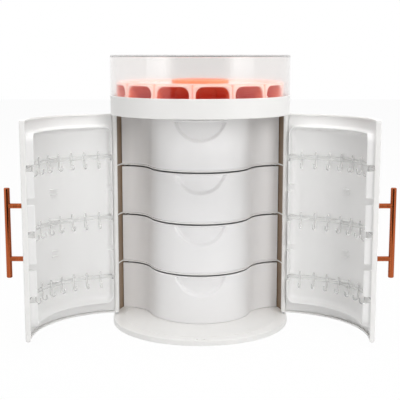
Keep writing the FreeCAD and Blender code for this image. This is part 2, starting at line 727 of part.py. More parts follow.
def make_liner():
    """The inner sheet of a door: a recess inside a tall ridge, with notches and clasps for the bars."""
    rise = "liner_slope_rise"
    band = turned("liner_band", [
        (LINER_FACE + " + " + rise, LINER_LOW), (LINER_BACK, LINER_LOW), (LINER_BACK, LINER_TOP),
        (LINER_FACE + " + " + rise, LINER_TOP), (LINER_FACE, LINER_TOP + " - liner_slope_length"),
        (LINER_FACE, LINER_LOW + " + liner_slope_length")],
        sweep="%s - %s" % (LINER_END, LINER_START), start=LINER_START)
    opened = "(%s - cut_past)" % RIDGE_CREST
    recess_sweep = "(%s - %s)" % (RECESS_END, RECESS_START)
    recess = sector("liner_recess", opened, RECESS_FLOOR, RECESS_LOW, RECESS_HEIGHT,
                    RECESS_START, recess_sweep)
    recess = rounded("liner_recess_round", recess, "recess_round", is_radial_line)
    ridge = sector("liner_ridge", RIDGE_CREST, "(%s + weld_depth)" % LINER_FACE,
                   "(%s - ridge_width)" % RECESS_LOW, "(%s + 2 * ridge_width)" % RECESS_HEIGHT,
                   "(%s - %s)" % (RECESS_START, RIDGE_ANGLE), "(%s + 2 * %s)" % (recess_sweep, RIDGE_ANGLE))
    ridge = rounded("liner_ridge_round", ridge, "(recess_round + ridge_width)", is_radial_line)
    cuts = [recess]
    brackets = []
    for n in range(HOOK_LEVELS):
        low = "(%s - notch_length / 2)" % hook_level(n)
        free_start = "(%s - %s)" % (RECESS_START, NOTCH_ANGLE)
        hinge_start = "(%s - turn_past)" % RECESS_END
        for side, start in (("free", free_start), ("hinge", hinge_start)):
            cuts.append(sector("liner_notch_%s_%d" % (side, n), opened, RECESS_FLOOR, low,
                               "notch_length", start, NOTCH_ANGLE + " + turn_past"))
        start = "(bracket_angle - %s)" % arc_angle("(bracket_width / 2)", RECESS_FLOOR)
        sweep = arc_angle("bracket_width", RECESS_FLOOR)
        block = sector("liner_bracket_%d" % n, LINER_FACE, "(%s + weld_depth)" % RECESS_FLOOR,
                       low, "notch_length", start, sweep)
        groove = sector("liner_groove_%d" % n, opened, "(%s + bar_float)" % BAR_OUTER,
                        "(%s - bar_height / 2 - bar_play)" % hook_level(n), "bar_height + 2 * bar_play",
                        start + " - turn_past", sweep + " + 2 * turn_past")
        brackets.append(cut("liner_clasp_%d" % n, block, groove))
    base = cut("liner_frame", fuse("liner_body", band, ridge), *cuts)
    pocket_floor = "(%s - handle_head_height - end_gap / 2)" % LINER_BACK
    pockets = [radial("liner_pocket_" + name, "handle_head_radius + end_gap + running_gap",
                      pocket_floor, "(%s + cut_past)" % LINER_BACK, height)
               for name, height in (("low", "post_low"), ("high", "post_high"))]
    in_door(cut("liner_cut", fuse("liner_whole", base, *brackets), *pockets), "door_liner")


def is_radial_line(edge):
    """A short straight edge that points at the tower's axis."""
    if not isinstance(edge.Curve, Part.Line):
        return False
    return abs(edge.Curve.Direction.z) < 0.01


def make_hook_bar(n, label):
    middle = hook_level(n)
    low = "(%s - bar_height / 2)" % middle
    reach = "(%s - %s)" % (NOTCH_ANGLE, arc_angle("bar_play", LINER_FACE))
    start = "(%s - %s)" % (RECESS_START, reach)
    end = "(%s + %s)" % (RECESS_END, reach)
    bar = sector(label + "_bar", BAR_INNER, BAR_OUTER, low, "bar_height", start, "(%s - %s)" % (end, start))
    tabs = []
    tab_low = "(%s - notch_length / 2 + bar_play)" % middle
    for side, at in (("free", start), ("hinge", RECESS_END)):
        tabs.append(sector("%s_tab_%s" % (label, side), BAR_INNER, BAR_OUTER, tab_low,
                           "notch_length - 2 * bar_play", at, reach))
    outer = "(%s + hook_root)" % BAR_INNER
    inner = "(%s - hook_thickness)" % outer
    far = "(%s - 2 * hook_bend)" % inner
    tip = "(%s - hook_thickness)" % far
    curl = "(%s - hook_drop)" % middle
    top = "(%s + hook_rise)" % middle
    middle_of_bend = "(%s - hook_bend)" % inner
    outer_bend = "(hook_bend + hook_thickness)"
    corners = [(outer, top), (inner, top), (inner, curl), (middle_of_bend, curl + " - hook_bend"),
               (far, curl), (far, curl + " + hook_tip"), (tip, curl + " + hook_tip"), (tip, curl),
               (middle_of_bend, "%s - %s" % (curl, outer_bend)), (outer, curl)]
    bends = {2: ("hook_bend", 1), 3: ("hook_bend", 1), 7: (outer_bend, -1), 8: (outer_bend, -1)}
    body = doc.addObject("PartDesign::Body", label + "_hooks")
    sketch = drawing(body, label + "_hook_side", "XZ_Plane", corners, bends)
    pad = body.newObject("PartDesign::Pad", label + "_hook_pad")
    pad.Profile = sketch
    pad.Midplane = True
    pad.setExpression("Length", bound("hook_width"))
    row = body.newObject("PartDesign::PolarPattern", label + "_hook_row")
    row.Originals = [pad]
    row.Axis = (origin_feature(body, "Z_Axis"), [""])
    row.setExpression("Angle", bound("hook_last_angle - hook_first_angle"))
    row.Occurrences = HOOKS
    body.Tip = row
    body.Placement = FreeCAD.Placement(FreeCAD.Vector(), FreeCAD.Rotation(Z_AXIS, number("hook_first_angle")))
    in_door(fuse(label + "_whole", bar, *tabs, body), label)


def make_handle():
    centre = "(%s + grip_reach)" % DOOR_OUTER
    angle = number("grip_angle")
    x, y = round_axis(centre, angle)
    bar = cylinder("grip_bar", "grip_radius", "grip_high - grip_low", (x, y, "grip_low"))
    bar = rounded("grip_bar_round", bar, "grip_round", lambda one: isinstance(one.Curve, Part.Circle))
    posts = []
    screws = []
    for name, height in (("low", "post_low"), ("high", "post_high")):
        post = radial("post_rod_" + name, "post_radius", "(%s - weld_depth)" % DOOR_OUTER, centre, height)
        door_side = cylinder("post_door_side_" + name, DOOR_OUTER, "4 * post_radius",
                             ("0", "0", height + " - 2 * post_radius"))
        grip_side = cylinder("post_grip_side_" + name, "grip_radius", "4 * post_radius",
                             (x, y, height + " - 2 * post_radius"))
        tip = "(%s - handle_head_height + handle_screw_length)" % LINER_BACK
        bore = radial("post_bore_" + name, "handle_screw_radius + running_gap",
                      LINER_BACK, "(%s + end_gap)" % tip, height)
        posts.append(cut("post_" + name, post, door_side, grip_side, bore))
        head = radial("handle_head_" + name, "handle_head_radius",
                      "(%s - handle_head_height)" % LINER_BACK, LINER_BACK, height)
        shank = radial("handle_shank_" + name, "handle_screw_radius",
                       "(%s - handle_head_height / 2)" % LINER_BACK, tip, height)
        screws.append(fuse("handle_screw_" + name, head, shank))
    in_door(bar, "handle_bar")
    for label, pieces in (("handle_posts", posts), ("handle_screws", screws)):
        group = doc.addObject("Part::Compound", label + "_group")
        group.Links = pieces
        in_door(group, label)


def make_spindle():
    foot_top = "(%s + spindle_foot_height)" % TRAY_FLOOR_TOP
    collar_top = "(%s + spindle_collar_height)" % foot_top
    tip = "(%s + spindle_rise)" % collar_top
    keep(turned("spindle_turned", [
        ("0", CEILING), ("spindle_stub_radius", CEILING), ("spindle_stub_radius", TRAY_FLOOR_TOP),
        ("spindle_foot_radius", TRAY_FLOOR_TOP), ("spindle_foot_radius", foot_top),
        ("spindle_collar_radius", foot_top), ("spindle_collar_radius", collar_top),
        ("spindle_radius", collar_top), ("spindle_radius", tip), ("0", tip)]), "carousel_spindle")


def arch(width, low, high, bend):
    """An opening with a level sill and round upper corners, seen along the radius."""
    half = "(%s / 2)" % width
    corners = [("-1 * %s" % half, low), (half, low), (half, "(%s - %s)" % (high, bend)),
               ("(%s - %s)" % (half, bend), high), ("(%s - %s)" % (bend, half), high),
               ("-1 * %s" % half, "(%s - %s)" % (high, bend))]
    return corners, {2: (bend, -1), 4: (bend, -1)}


INSERT_LOW = "(%s + insert_low)" % PLATE_TOP
INSERT_TOP = "(%s + insert_height)" % INSERT_LOW
INSERT_RADIUS = "(base_radius - insert_inset)"
DECK_LOW = "(%s - deck_thickness)" % INSERT_TOP
INSERT_FLOOR_TOP = "(%s + insert_floor)" % INSERT_LOW


def make_insert():
    """What carries and covers the cups: a floor, a centre bowl on its hub, and a deck."""
    hub_low = "(%s + spindle_foot_height + spindle_collar_height + end_gap)" % TRAY_FLOOR_TOP
    bore = "(spindle_radius + running_gap)"
    bore_top = "(%s + spindle_rise)" % hub_low
    bowl_top = "(%s + bowl_floor)" % bore_top
    bowl_inner = "(collar_radius - collar_wall)"
    collar_top = "(%s + collar_rise)" % INSERT_TOP
    keep(sector("insert_floor_disc", "collar_radius", INSERT_RADIUS, INSERT_LOW, "insert_floor", "0", "360"),
         "carousel_floor")
    keep(sector("insert_hub", bore, "hub_radius", hub_low, "spindle_rise", "0", "360"), "carousel_hub")
    keep(turned("insert_bowl", [
        ("0", bore_top), (bowl_inner, bore_top), (bowl_inner, INSERT_LOW), ("collar_radius", INSERT_LOW),
        ("collar_radius", collar_top), (bowl_inner, collar_top), (bowl_inner, bowl_top), ("0", bowl_top)]),
        "carousel_bowl")
    deck = sector("insert_deck", "(collar_radius + deck_play)", INSERT_RADIUS, DECK_LOW, "deck_thickness",
                  "0", "360")
    edge = number(INSERT_RADIUS), number(INSERT_TOP)
    keep(rounded("insert_deck_edge", deck, "deck_edge", lambda one: is_ring(one, *edge)), "carousel_deck")


def cup_width(radius):
    """Width inside a cup at a radius, between webs of equal width."""
    return "(2 * %s * tan(%g) - cup_web)" % (radius, 180 / CUPS)


def make_cups():
    """The ring of cups, each open to the outside through an arch over a low lip."""
    root = "(base_radius - cup_root_inset)"
    mouth = "(%s - cup_front)" % INSERT_RADIUS
    sweep = "(%g - %s)" % (360 / CUPS, arc_angle("cup_play", INSERT_RADIUS))
    height = "(%s - %s)" % (DECK_LOW, INSERT_FLOOR_TOP)
    body = sector("cup_body", "(%s - cup_back)" % root, INSERT_RADIUS, INSERT_FLOOR_TOP, height, "0", sweep)
    body.Tip.Midplane = True
    sill = "(%s + cup_floor)" % INSERT_FLOOR_TOP
    head = "(%s - cup_roof)" % DECK_LOW
    corners, bends = arch(cup_width(mouth), sill, head, "cup_round")
    front = drawing(body, "cup_mouth", "YZ_Plane", corners, bends, mouth)
    corners, bends = arch(cup_width(root), sill, head, "cup_root_round")
    back = drawing(body, "cup_root", "YZ_Plane", corners, bends, root)
    hollow = body.newObject("PartDesign::SubtractiveLoft", "cup_hollow")
    hollow.Profile = front
    hollow.Sections = [back]
    hollow.Ruled = True
    corners, bends = arch(cup_width(mouth), "(%s + cup_lip)" % sill, head, "cup_round")
    near = drawing(body, "cup_arch_near", "YZ_Plane", corners, bends, "(%s - cut_past)" % mouth)
    far = drawing(body, "cup_arch_far", "YZ_Plane", corners, bends, "(%s + cut_past)" % INSERT_RADIUS)
    window = body.newObject("PartDesign::SubtractiveLoft", "cup_window")
    window.Profile = near
    window.Sections = [far]
    window.Ruled = True
    body.Tip = window
    for i in range(CUPS):
        cup = doc.addObject("Part::Compound", "cup_%02d" % (i + 1))
        cup.Links = [body]
        turn = number("cup_phase") - 90 + i * 360 / CUPS
        cup.Placement = FreeCAD.Placement(FreeCAD.Vector(), FreeCAD.Rotation(Z_AXIS, turn))
        keep(cup, "carousel_cup_%02d" % (i + 1))


def make_cover():
    low = "(%s + cover_lift)" % RING_TOP
    top = "(%s + cover_height)" % low
    lip_outer = "(%s - lip_gap)" % RING_INNER
    lip_inner = "(%s - lip_gap - lip_wall)" % RING_INNER
    wall_inner = "(base_radius - cover_wall)"
    cover = turned("cover_turned", [
        ("0", top + " - cover_top"), (wall_inner, top + " - cover_top"), (wall_inner, low + " + cover_wall"),
        (lip_inner, low + " + cover_wall"), (lip_inner, low + " - lip_height"),
        (lip_outer, low + " - lip_height"), (lip_outer, low), ("base_radius", low),
        ("base_radius", top), ("0", top)])
    edge = number("base_radius"), number(top)
    keep(rounded("cover_round_edge", cover, "cover_round", lambda one: is_ring(one, *edge)), "clear_cover")


make_base()
make_shell()
for n, label in ((3, "shelf_upper"), (2, "shelf_middle"), (1, "shelf_lower")):
    make_shelf(n, label)
for n in range(LEVELS):
    make_drawer(n, "drawer_%d" % (LEVELS - n))
make_top_tray()
make_fasteners()
make_door_shell()
make_liner()
for n, name in ((0, "top"), (2, "middle"), (4, "bottom")):
    make_hook_bar(n, "hook_bar_" + name)
make_handle()
make_spindle()
make_insert()
make_cups()
make_cover()
doc.recompute()

failed = [thing.Label for thing in doc.Objects if "Invalid" in thing.State or "Error" in thing.State]
if failed:
    raise RuntimeError("did not build: " + ", ".join(failed))
os.makedirs("parts", exist_ok=True)
for thing in sub_parts:
    if thing.Shape.isNull() or not thing.Shape.isValid():
        raise RuntimeError("%s has no valid shape" % thing.Label)
for thing in sub_parts:
    thing.Shape.exportStep("parts/%s.step" % thing.Label)
    size = thing.Shape.BoundBox
    print("%-26s solids %d volume %10.1f  z %.2f to %.2f" % (
        thing.Label, len(thing.Shape.Solids), thing.Shape.Volume, size.ZMin, size.ZMax))
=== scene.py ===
import math

import bmesh
import bpy
from mathutils import Matrix, Vector


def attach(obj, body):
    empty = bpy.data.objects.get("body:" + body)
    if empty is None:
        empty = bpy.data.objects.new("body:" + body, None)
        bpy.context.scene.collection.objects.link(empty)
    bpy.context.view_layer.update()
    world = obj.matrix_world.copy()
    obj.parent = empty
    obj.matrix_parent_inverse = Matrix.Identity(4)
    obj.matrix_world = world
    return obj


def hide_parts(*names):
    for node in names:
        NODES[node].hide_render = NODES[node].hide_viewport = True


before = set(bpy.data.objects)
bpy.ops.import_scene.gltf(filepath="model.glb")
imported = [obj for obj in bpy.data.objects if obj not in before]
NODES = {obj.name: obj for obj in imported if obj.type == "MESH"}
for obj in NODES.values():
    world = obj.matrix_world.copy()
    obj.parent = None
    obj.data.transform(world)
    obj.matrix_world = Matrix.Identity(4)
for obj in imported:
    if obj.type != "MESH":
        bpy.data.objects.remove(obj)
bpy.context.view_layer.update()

# Jewelry cabinet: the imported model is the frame, in metres, with Z up and -Y to the front.
# The doors stand open at rest. Sizes in the tables below are in millimetres.

MM = 0.001

# The camera as fitted to the photograph
SENSOR_WIDTH = 36.0
FOCAL_LENGTH = 82.45
CAMERA_PLACE = (-0.0003, -1.2354, 0.3686)
CAMERA_PITCH = 9.18

# Soft boxes: name, place, aim, width and height in metres, watts, and whether they light the
# cabinet or only stand in its reflections
SOFTBOXES = (
    ("overhead_softbox", (0.0, -0.3, 1.9), (0.0, 0.0, 0.2), (1.8, 1.8), 32.0, True),
    ("front_softbox", (0.0, -2.6, 0.7), (0.0, 0.0, 0.2), (1.6, 0.8), 4.0, True),
    ("right_side_softbox", (2.0, 0.4, 0.8), (0.0, 0.0, 0.2), (1.0, 1.2), 14.5, True),
    ("left_side_softbox", (-2.0, 0.4, 0.8), (0.0, 0.0, 0.2), (1.0, 1.2), 8.0, True),
    ("right_front_softbox", (0.95, -2.1, 1.0), (0.0, 0.0, 0.18), (0.8, 0.8), 17.0, True),
    ("left_front_softbox", (-0.95, -2.1, 1.0), (0.0, 0.0, 0.18), (0.8, 0.8), 4.0, True),
    ("back_softbox", (0.0, 2.6, 1.0), (0.0, 0.0, 0.2), (1.6, 1.0), 7.0, True),
    ("right_shine_softbox", (1.7, -1.2, 0.9), (0.0, 0.0, 0.3), (1.1, 1.3), 5.0, False),
    ("left_shine_softbox", (-1.7, -1.2, 0.9), (0.0, 0.0, 0.3), (1.1, 1.3), 5.0, False),
)
FILL_STRENGTH = 0.02
FLOOR_SEEN_SHARE = 0.97
FLOOR_PAPER = "#ececec"
FLOOR_REACH = 6.0

# Dark cloth on the wall behind the camera and on the floor before it, which only reflections show:
# width, Y and Z of its two cross lines, and whether clear plastic shows it too
DARK_CLOTHS = (
    ("studio_dark_wall", ((3.4, -2.3, 0.12), (3.4, -2.3, 0.5)), True),
    ("studio_dark_rug", ((0.9, -0.75, 0.002), (2.4, -2.3, 0.002)), False),
)
DARK_CLOTH_SHADE = "#1e1c1b"

SIDES = ("left", "right")


def linear(code):
    """The linear colour of an sRGB hex code."""
    parts = [int(code[i:i + 2], 16) / 255 for i in (1, 3, 5)]
    return [c / 12.92 if c <= 0.04045 else ((c + 0.055) / 1.055) ** 2.4 for c in parts] + [1.0]


def add(tree, kind, settings=None, links=None):
    """Adds a node to a tree. settings are its properties and the values of its inputs, links the
    inputs that another node's output feeds."""
    node = tree.nodes.new(kind)
    for name, value in (settings or {}).items():
        if isinstance(name, str) and hasattr(node, name):
            setattr(node, name, value)
        else:
            node.inputs[name].default_value = value
    for name, (source, output) in (links or {}).items():
        tree.links.new(source.outputs[output], node.inputs[name])
    return node


def blank(name):
    """A new material and its empty node tree."""
    material = bpy.data.materials.new(name)
    material.use_nodes = True
    material.node_tree.nodes.clear()
    return material, material.node_tree


def ramp(node, stops):
    """Sets the stops of a colour ramp, each a place from 0 to 1 and a hex colour."""
    elements = node.color_ramp.elements
    while len(elements) < len(stops):
        elements.new(1.0)
    for element, (place, code) in zip(elements, stops):
        element.position = place
        element.color = linear(code)


def moulded(name, colour, shade, roughness, peel_mm, peel_depth_mm, paint=None, extras=None):
    """An injection moulded plastic: its colour drifts a little towards shade as the melt flowed,
    and the skin has the fine orange peel that breaks up reflections. paint may lay another
    colour over it, and gets the tree, the object's coordinates and the colour so far."""
    material, tree = blank(name)
    place = add(tree, "ShaderNodeTexCoord")
    flow = add(tree, "ShaderNodeTexNoise", {"Scale": 1 / (FLOW_LENGTH * MM), "Detail": 2.0},
               {"Vector": (place, "Object")})
    tint = add(tree, "ShaderNodeMix", {"data_type": "RGBA", 6: linear(colour), 7: linear(shade)},
               {0: (flow, "Fac")})
    if paint:
        tint = paint(tree, place, tint)
    peel = add(tree, "ShaderNodeTexNoise", {"Scale": 1 / (peel_mm * MM), "Detail": 1.0},
               {"Vector": (place, "Object")})
    gloss = add(tree, "ShaderNodeMapRange", {"To Min": roughness * 0.85, "To Max": roughness * 1.15},
                {"Value": (flow, "Fac")})
    bump = add(tree, "ShaderNodeBump", {"Distance": peel_depth_mm * MM}, {"Height": (peel, "Fac")})
    # The emission takes the same colour, and is a painted glow wherever extras give it a strength
    shader = add(tree, "ShaderNodeBsdfPrincipled", extras,
                 {"Base Color": (tint, 2), "Emission Color": (tint, 2), "Roughness": (gloss, "Result"),
                  "Normal": (bump, "Normal")})
    add(tree, "ShaderNodeOutputMaterial", None, {"Surface": (shader, "BSDF")})
    return material


def distance_from_axis(tree, place):
    """The distance of each point from the tower's axis."""
    flat = add(tree, "ShaderNodeVectorMath", {"operation": "MULTIPLY", 1: (1.0, 1.0, 0.0)},
               {0: (place, "Object")})
    return add(tree, "ShaderNodeVectorMath", {"operation": "LENGTH"}, {0: (flat, "Vector")})


def painted_gap_shade(tree, place, tint):
    """Brown painted shade on the inside of the shell's wall, where the gaps beside the drawers lie in
    shadow. It is left off at the bare ledges of the shelves.
    """
    reach = distance_from_axis(tree, place)
    near = add(tree, "ShaderNodeMath",
               {"operation": "COMPARE", 1: GAP_SHADE_RADIUS * MM, 2: GAP_SHADE_REACH * MM},
               {0: (reach, "Value")})
    height = add(tree, "ShaderNodeSeparateXYZ", None, {"Vector": (place, "Object")})
    above = add(tree, "ShaderNodeMath", {"operation": "SUBTRACT", 1: LOWEST_LEVEL * MM}, {0: (height, "Z")})
    within = add(tree, "ShaderNodeMath", {"operation": "MODULO", 1: LEVEL_PITCH * MM},
                 {0: (above, "Value")})
    bare = add(tree, "ShaderNodeMath",
               {"operation": "COMPARE", 1: (LEVEL_PITCH - LEDGE_DROP) * MM, 2: LEDGE_HALF * MM},
               {0: (within, "Value")})
    # Where the painted shade lies: close to the wall, and off the ledges
    shade_share = add(tree, "ShaderNodeMath", {"operation": "SUBTRACT", "use_clamp": True},
                     {0: (near, "Value"), 1: (bare, "Value")})
    shade_cloud = add(tree, "ShaderNodeTexNoise", {"Scale": 1 / (GAP_SHADE_CLOUD * MM), "Detail": 3.0},
               {"Vector": (place, "Object")})
    brown = add(tree, "ShaderNodeMix",
                {"data_type": "RGBA", 6: linear(GAP_SHADE_COLOURS[0]), 7: linear(GAP_SHADE_COLOURS[1])},
                {0: (shade_cloud, "Fac")})
    return add(tree, "ShaderNodeMix", {"data_type": "RGBA"},
               {0: (shade_share, "Value"), 6: (tint, 2), 7: (brown, 2)})


def coral_painted_light_and_shade(stops, rim_radius, top):
    """Coral colour by how deep a point lies under the insert's rim and top. The tinted plastic is painted
    pale at the edges as painted light, and turns deep red further in as painted shade in the cups' hollows."""
    def paint(tree, place, tint):
        reach = distance_from_axis(tree, place)
        inward = add(tree, "ShaderNodeMath", {"operation": "SUBTRACT", 0: rim_radius * MM},
                     {1: (reach, "Value")})
        height = add(tree, "ShaderNodeSeparateXYZ", None, {"Vector": (place, "Object")})
        down = add(tree, "ShaderNodeMath", {"operation": "SUBTRACT", 0: top * MM}, {1: (height, "Z")})
        depth = add(tree, "ShaderNodeMath", {"operation": "MINIMUM"},
                    {0: (inward, "Value"), 1: (down, "Value")})
        share = add(tree, "ShaderNodeMath", {"operation": "DIVIDE", 1: CORAL_SHADE_REACH * MM},
                    {0: (depth, "Value")})
        colours = add(tree, "ShaderNodeValToRGB", None, {"Fac": (share, "Value")})
        ramp(colours, stops)
        return add(tree, "ShaderNodeMix", {"data_type": "RGBA", "blend_type": "MULTIPLY", 0: 1.0},
                   {6: (tint, 2), 7: (colours, "Color")})
    return paint


def clear_plastic(name, colour, clear_share, loss, roughness, wave_mm, wave_depth_mm, shadow):
    """A clear moulded plastic, a little milky by what clear_share leaves, and greyer the longer the
    way of the light in it, by the loss for each metre. Its shadow is only a tint, and light that has
    bounced about in a wall gets out of it."""
    material, tree = blank(name)
    place = add(tree, "ShaderNodeTexCoord")
    wave = add(tree, "ShaderNodeTexNoise", {"Scale": 1 / (wave_mm * MM), "Detail": 1.0},
               {"Vector": (place, "Object")})
    bump = add(tree, "ShaderNodeBump", {"Distance": wave_depth_mm * MM}, {"Height": (wave, "Fac")})
    gloss = add(tree, "ShaderNodeMapRange", {"To Min": roughness * 0.6, "To Max": roughness * 1.4},
                {"Value": (wave, "Fac")})
    shader = add(tree, "ShaderNodeBsdfPrincipled",
                 {"Base Color": linear(colour), "IOR": CLEAR_IOR, "Transmission Weight": clear_share},
                 {"Roughness": (gloss, "Result"), "Normal": (bump, "Normal")})
    shade = add(tree, "ShaderNodeBsdfTransparent", {"Color": linear(shadow)})
    path = add(tree, "ShaderNodeLightPath")
    caught = add(tree, "ShaderNodeMath", {"operation": "GREATER_THAN", 1: CAUGHT_BOUNCES},
                 {0: (path, "Ray Depth")})
    passing = add(tree, "ShaderNodeMath", {"operation": "MAXIMUM"},
                  {0: (path, "Is Shadow Ray"), 1: (caught, "Value")})
    either = add(tree, "ShaderNodeMixShader", None,
                 {0: (passing, "Value"), 1: (shader, "BSDF"), 2: (shade, "BSDF")})
    inside = add(tree, "ShaderNodeVolumeAbsorption", {"Color": linear(GREY_LOSS), "Density": loss})
    add(tree, "ShaderNodeOutputMaterial", None,
        {"Surface": (either, "Shader"), "Volume": (inside, "Volume")})
    return material


def polished_metal(name, colour, lay_and_reflection_streak, roughness, lay_mm, lay_scale):
    """A plated and polished metal: bright reflections with a lay of polishing lines, which lay_scale
    stretches along the axis where it is small. The lines shift the colour towards a darker second colour. On
    the rose gold these are painted dark reflection streaks, and on the steel a faint real tone of the lines."""
    material, tree = blank(name)
    place = add(tree, "ShaderNodeTexCoord")
    stretch = add(tree, "ShaderNodeMapping", {"Scale": lay_scale}, {"Vector": (place, "Object")})
    lines = add(tree, "ShaderNodeTexNoise", {"Scale": 1 / (lay_mm * MM), "Detail": 3.0},
                {"Vector": (stretch, "Vector")})
    tint = add(tree, "ShaderNodeMix", {"data_type": "RGBA", 6: linear(colour), 7: linear(lay_and_reflection_streak)},
               {0: (lines, "Fac")})
    gloss = add(tree, "ShaderNodeMapRange", {"To Min": roughness * 0.7, "To Max": roughness * 1.3},
                {"Value": (lines, "Fac")})
    shader = add(tree, "ShaderNodeBsdfPrincipled", {"Metallic": 1.0},
                 {"Base Color": (tint, 2), "Roughness": (gloss, "Result")})
    add(tree, "ShaderNodeOutputMaterial", None, {"Surface": (shader, "BSDF")})
    return material


def rubber(name, colour, dust):
    """Moulded rubber: matt, with a fine grain that holds a little dust."""
    material, tree = blank(name)
    place = add(tree, "ShaderNodeTexCoord")
    grain = add(tree, "ShaderNodeTexNoise", {"Scale": 1 / (0.8 * MM), "Detail": 4.0},
                {"Vector": (place, "Object")})
    tint = add(tree, "ShaderNodeMix", {"data_type": "RGBA", 6: linear(colour), 7: linear(dust)},
               {0: (grain, "Fac")})
    bump = add(tree, "ShaderNodeBump", {"Distance": 0.1 * MM}, {"Height": (grain, "Fac")})
    shader = add(tree, "ShaderNodeBsdfPrincipled", {"Roughness": 0.75},
                 {"Base Color": (tint, 2), "Normal": (bump, "Normal")})
    add(tree, "ShaderNodeOutputMaterial", None, {"Surface": (shader, "BSDF")})
    return material


# Distance over which the melt of a moulding changes its shade
FLOW_LENGTH = 60.0
# Radius of the shell's inner wall, which gets brown painted shade between the ledges of the shelves
GAP_SHADE_RADIUS = 116.5
GAP_SHADE_REACH = 0.35
LOWEST_LEVEL = 7.8
LEVEL_PITCH = 69.0
# Middle of a bare ledge under its level, and half its height
LEDGE_DROP = 0.9
LEDGE_HALF = 1.1
# Colours of the brown painted shade in the gaps, and the size of its clouds
GAP_SHADE_COLOURS = ("#8f765c", "#7d664e")
GAP_SHADE_CLOUD = 9.0
# Clear plastic: IOR, and the shade that its walls turn light to
CLEAR_IOR = 1.49
GREY_LOSS = "#808080"
# Depth at which the painted shade of the coral plastic reaches its deepest red
CORAL_SHADE_REACH = 40.0
# Where the depth of the painted light and shade starts: the rims of the cups and the collar of the bowl,
# whose side doesn't count
CUP_RIM_RADIUS = 112.0
CUP_RIM_TOP = 330.0
COLLAR_TOP = 332.8
BOWL_REACH = 200.0

# Glossy white ABS, moulded and polished: the doors, the base and the top tray
WHITE_ABS = moulded("white_abs", "#f6f5f3", "#f1f0ee", 0.34, 1.4, 0.004)
# The same ABS with brown painted shade on the inside of the shell's wall, where the gaps beside the drawers
# lie in shadow
GAP_SHADED_ABS = moulded("abs_with_painted_gap_shade", "#f6f5f3", "#f1f0ee", 0.34, 1.4, 0.004, painted_gap_shade)
# White polystyrene with a satin skin: the drawers
DRAWER_PLASTIC = moulded("drawer_polystyrene", "#f6f5f5", "#f2f1f1", 0.38, 1.1, 0.006)
# Vacuum formed sheet with soft gloss: the inner frames of the doors
LINER_SHEET = moulded("liner_sheet", "#f1f1f0", "#edeceb", 0.36, 2.5, 0.02)
# Bounces after which light leaves a clear wall
CAUGHT_BOUNCES = 5.5
# Clear cast styrene of the cover: a grey veil over the white behind it, darker where a wall is seen
# at a slant
COVER_STYRENE = clear_plastic("cover_styrene", "#f8f6f5", 1.0, 6.0, 0.09, 40.0, 0.01, "#fafafa")
# Clear moulded styrene of the hooks, milky enough to show faintly on the white frames
HOOK_STYRENE = clear_plastic("hook_styrene", "#f4f4f3", 0.6, 4.0, 0.18, 3.0, 0.03, "#eeeeee")
# Coral tinted translucent styrene, with painted light on its pale edges and painted shade that turns its
# cups deep red. The emission is a faint painted glow: the whole insert gives out light, though it is no
# lamp.
CORAL_LOOK_AND_GLOW = {"IOR": 1.5, "Subsurface Weight": 0.15, "Subsurface Scale": 0.003, "Emission Strength": 0.18}
CORAL_STYRENE = moulded("coral_styrene", "#ffffff", "#fbf6f4", 0.2, 1.6, 0.004, coral_painted_light_and_shade(
    ((0.0, "#ffd6cb"), (0.02, "#ffcabd"), (0.05, "#fda68d"), (0.12, "#ee7455"), (0.4, "#cc4229"),
     (1.0, "#b02f1b")), CUP_RIM_RADIUS, CUP_RIM_TOP), CORAL_LOOK_AND_GLOW)
# The deck: the same coral plastic painted paler, as painted light on the top that light falls on and that
# reflects the white round it, with the same painted glow
LIT_CORAL_DECK = moulded("coral_styrene_deck_painted_lit", "#f4c9c0", "#f0c0b5", 0.24, 1.6, 0.004, None, CORAL_LOOK_AND_GLOW)
# The bowl and hub: painted shade that deepens the orange further down from the collar, and the same painted
# glow
CORAL_BOWL = moulded("coral_styrene_bowl", "#ffffff", "#fbf6f4", 0.2, 1.6, 0.004, coral_painted_light_and_shade(
    ((0.0, "#ffc9b0"), (0.015, "#ffb08c"), (0.035, "#fd9a72"), (0.14, "#f88d62"), (0.4, "#e8704a"),
     (1.0, "#c84c2c")), BOWL_REACH, COLLAR_TOP), CORAL_LOOK_AND_GLOW)
# Rose gold plate on a polished bar, with painted dark reflection streaks along it
ROSE_GOLD = polished_metal("rose_gold_plate", "#cc6e42", "#8c4425", 0.14, 1.6, (1.0, 1.0, 0.03))
# Zinc plated steel of screws and pins
STEEL = polished_metal("zinc_plated_steel", "#c9cacb", "#b9babc", 0.3, 0.4, (1.0, 1.0, 0.05))
# Black rubber of the foot ring
RUBBER = rubber("foot_rubber", "#1d1d1e", "#2b2b2c")

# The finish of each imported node, by the start of its name; the first that fits holds
FINISHES = (
    ("foot_ring", RUBBER), ("body_shell", GAP_SHADED_ABS), ("assembly_screws", STEEL), ("hinge_pins", STEEL),
    ("carousel_spindle", STEEL), ("carousel_bowl", CORAL_BOWL), ("carousel_hub", CORAL_BOWL),
    ("carousel", CORAL_STYRENE), ("clear_cover", COVER_STYRENE), ("drawer", DRAWER_PLASTIC),
    ("left_handle_screws", STEEL), ("right_handle_screws", STEEL), ("left_handle", ROSE_GOLD),
    ("right_handle", ROSE_GOLD), ("left_hook", HOOK_STYRENE), ("right_hook", HOOK_STYRENE),
    ("left_door_liner", LINER_SHEET), ("right_door_liner", LINER_SHEET), ("", WHITE_ABS),
)
SHARP_ANGLE = 30


def smooth(mesh, sharp):
    """Smooth shading, with the edges sharp where faces meet at more than an angle in degrees."""
    for polygon in mesh.polygons:
        polygon.use_smooth = True
    mesh.set_sharp_from_angle(angle=math.radians(sharp))


for name, node in NODES.items():
    finish = next(material for start, material in FINISHES if name.startswith(start))
    node.data.materials.clear()
    node.data.materials.append(finish)
    smooth(node.data, SHARP_ANGLE)


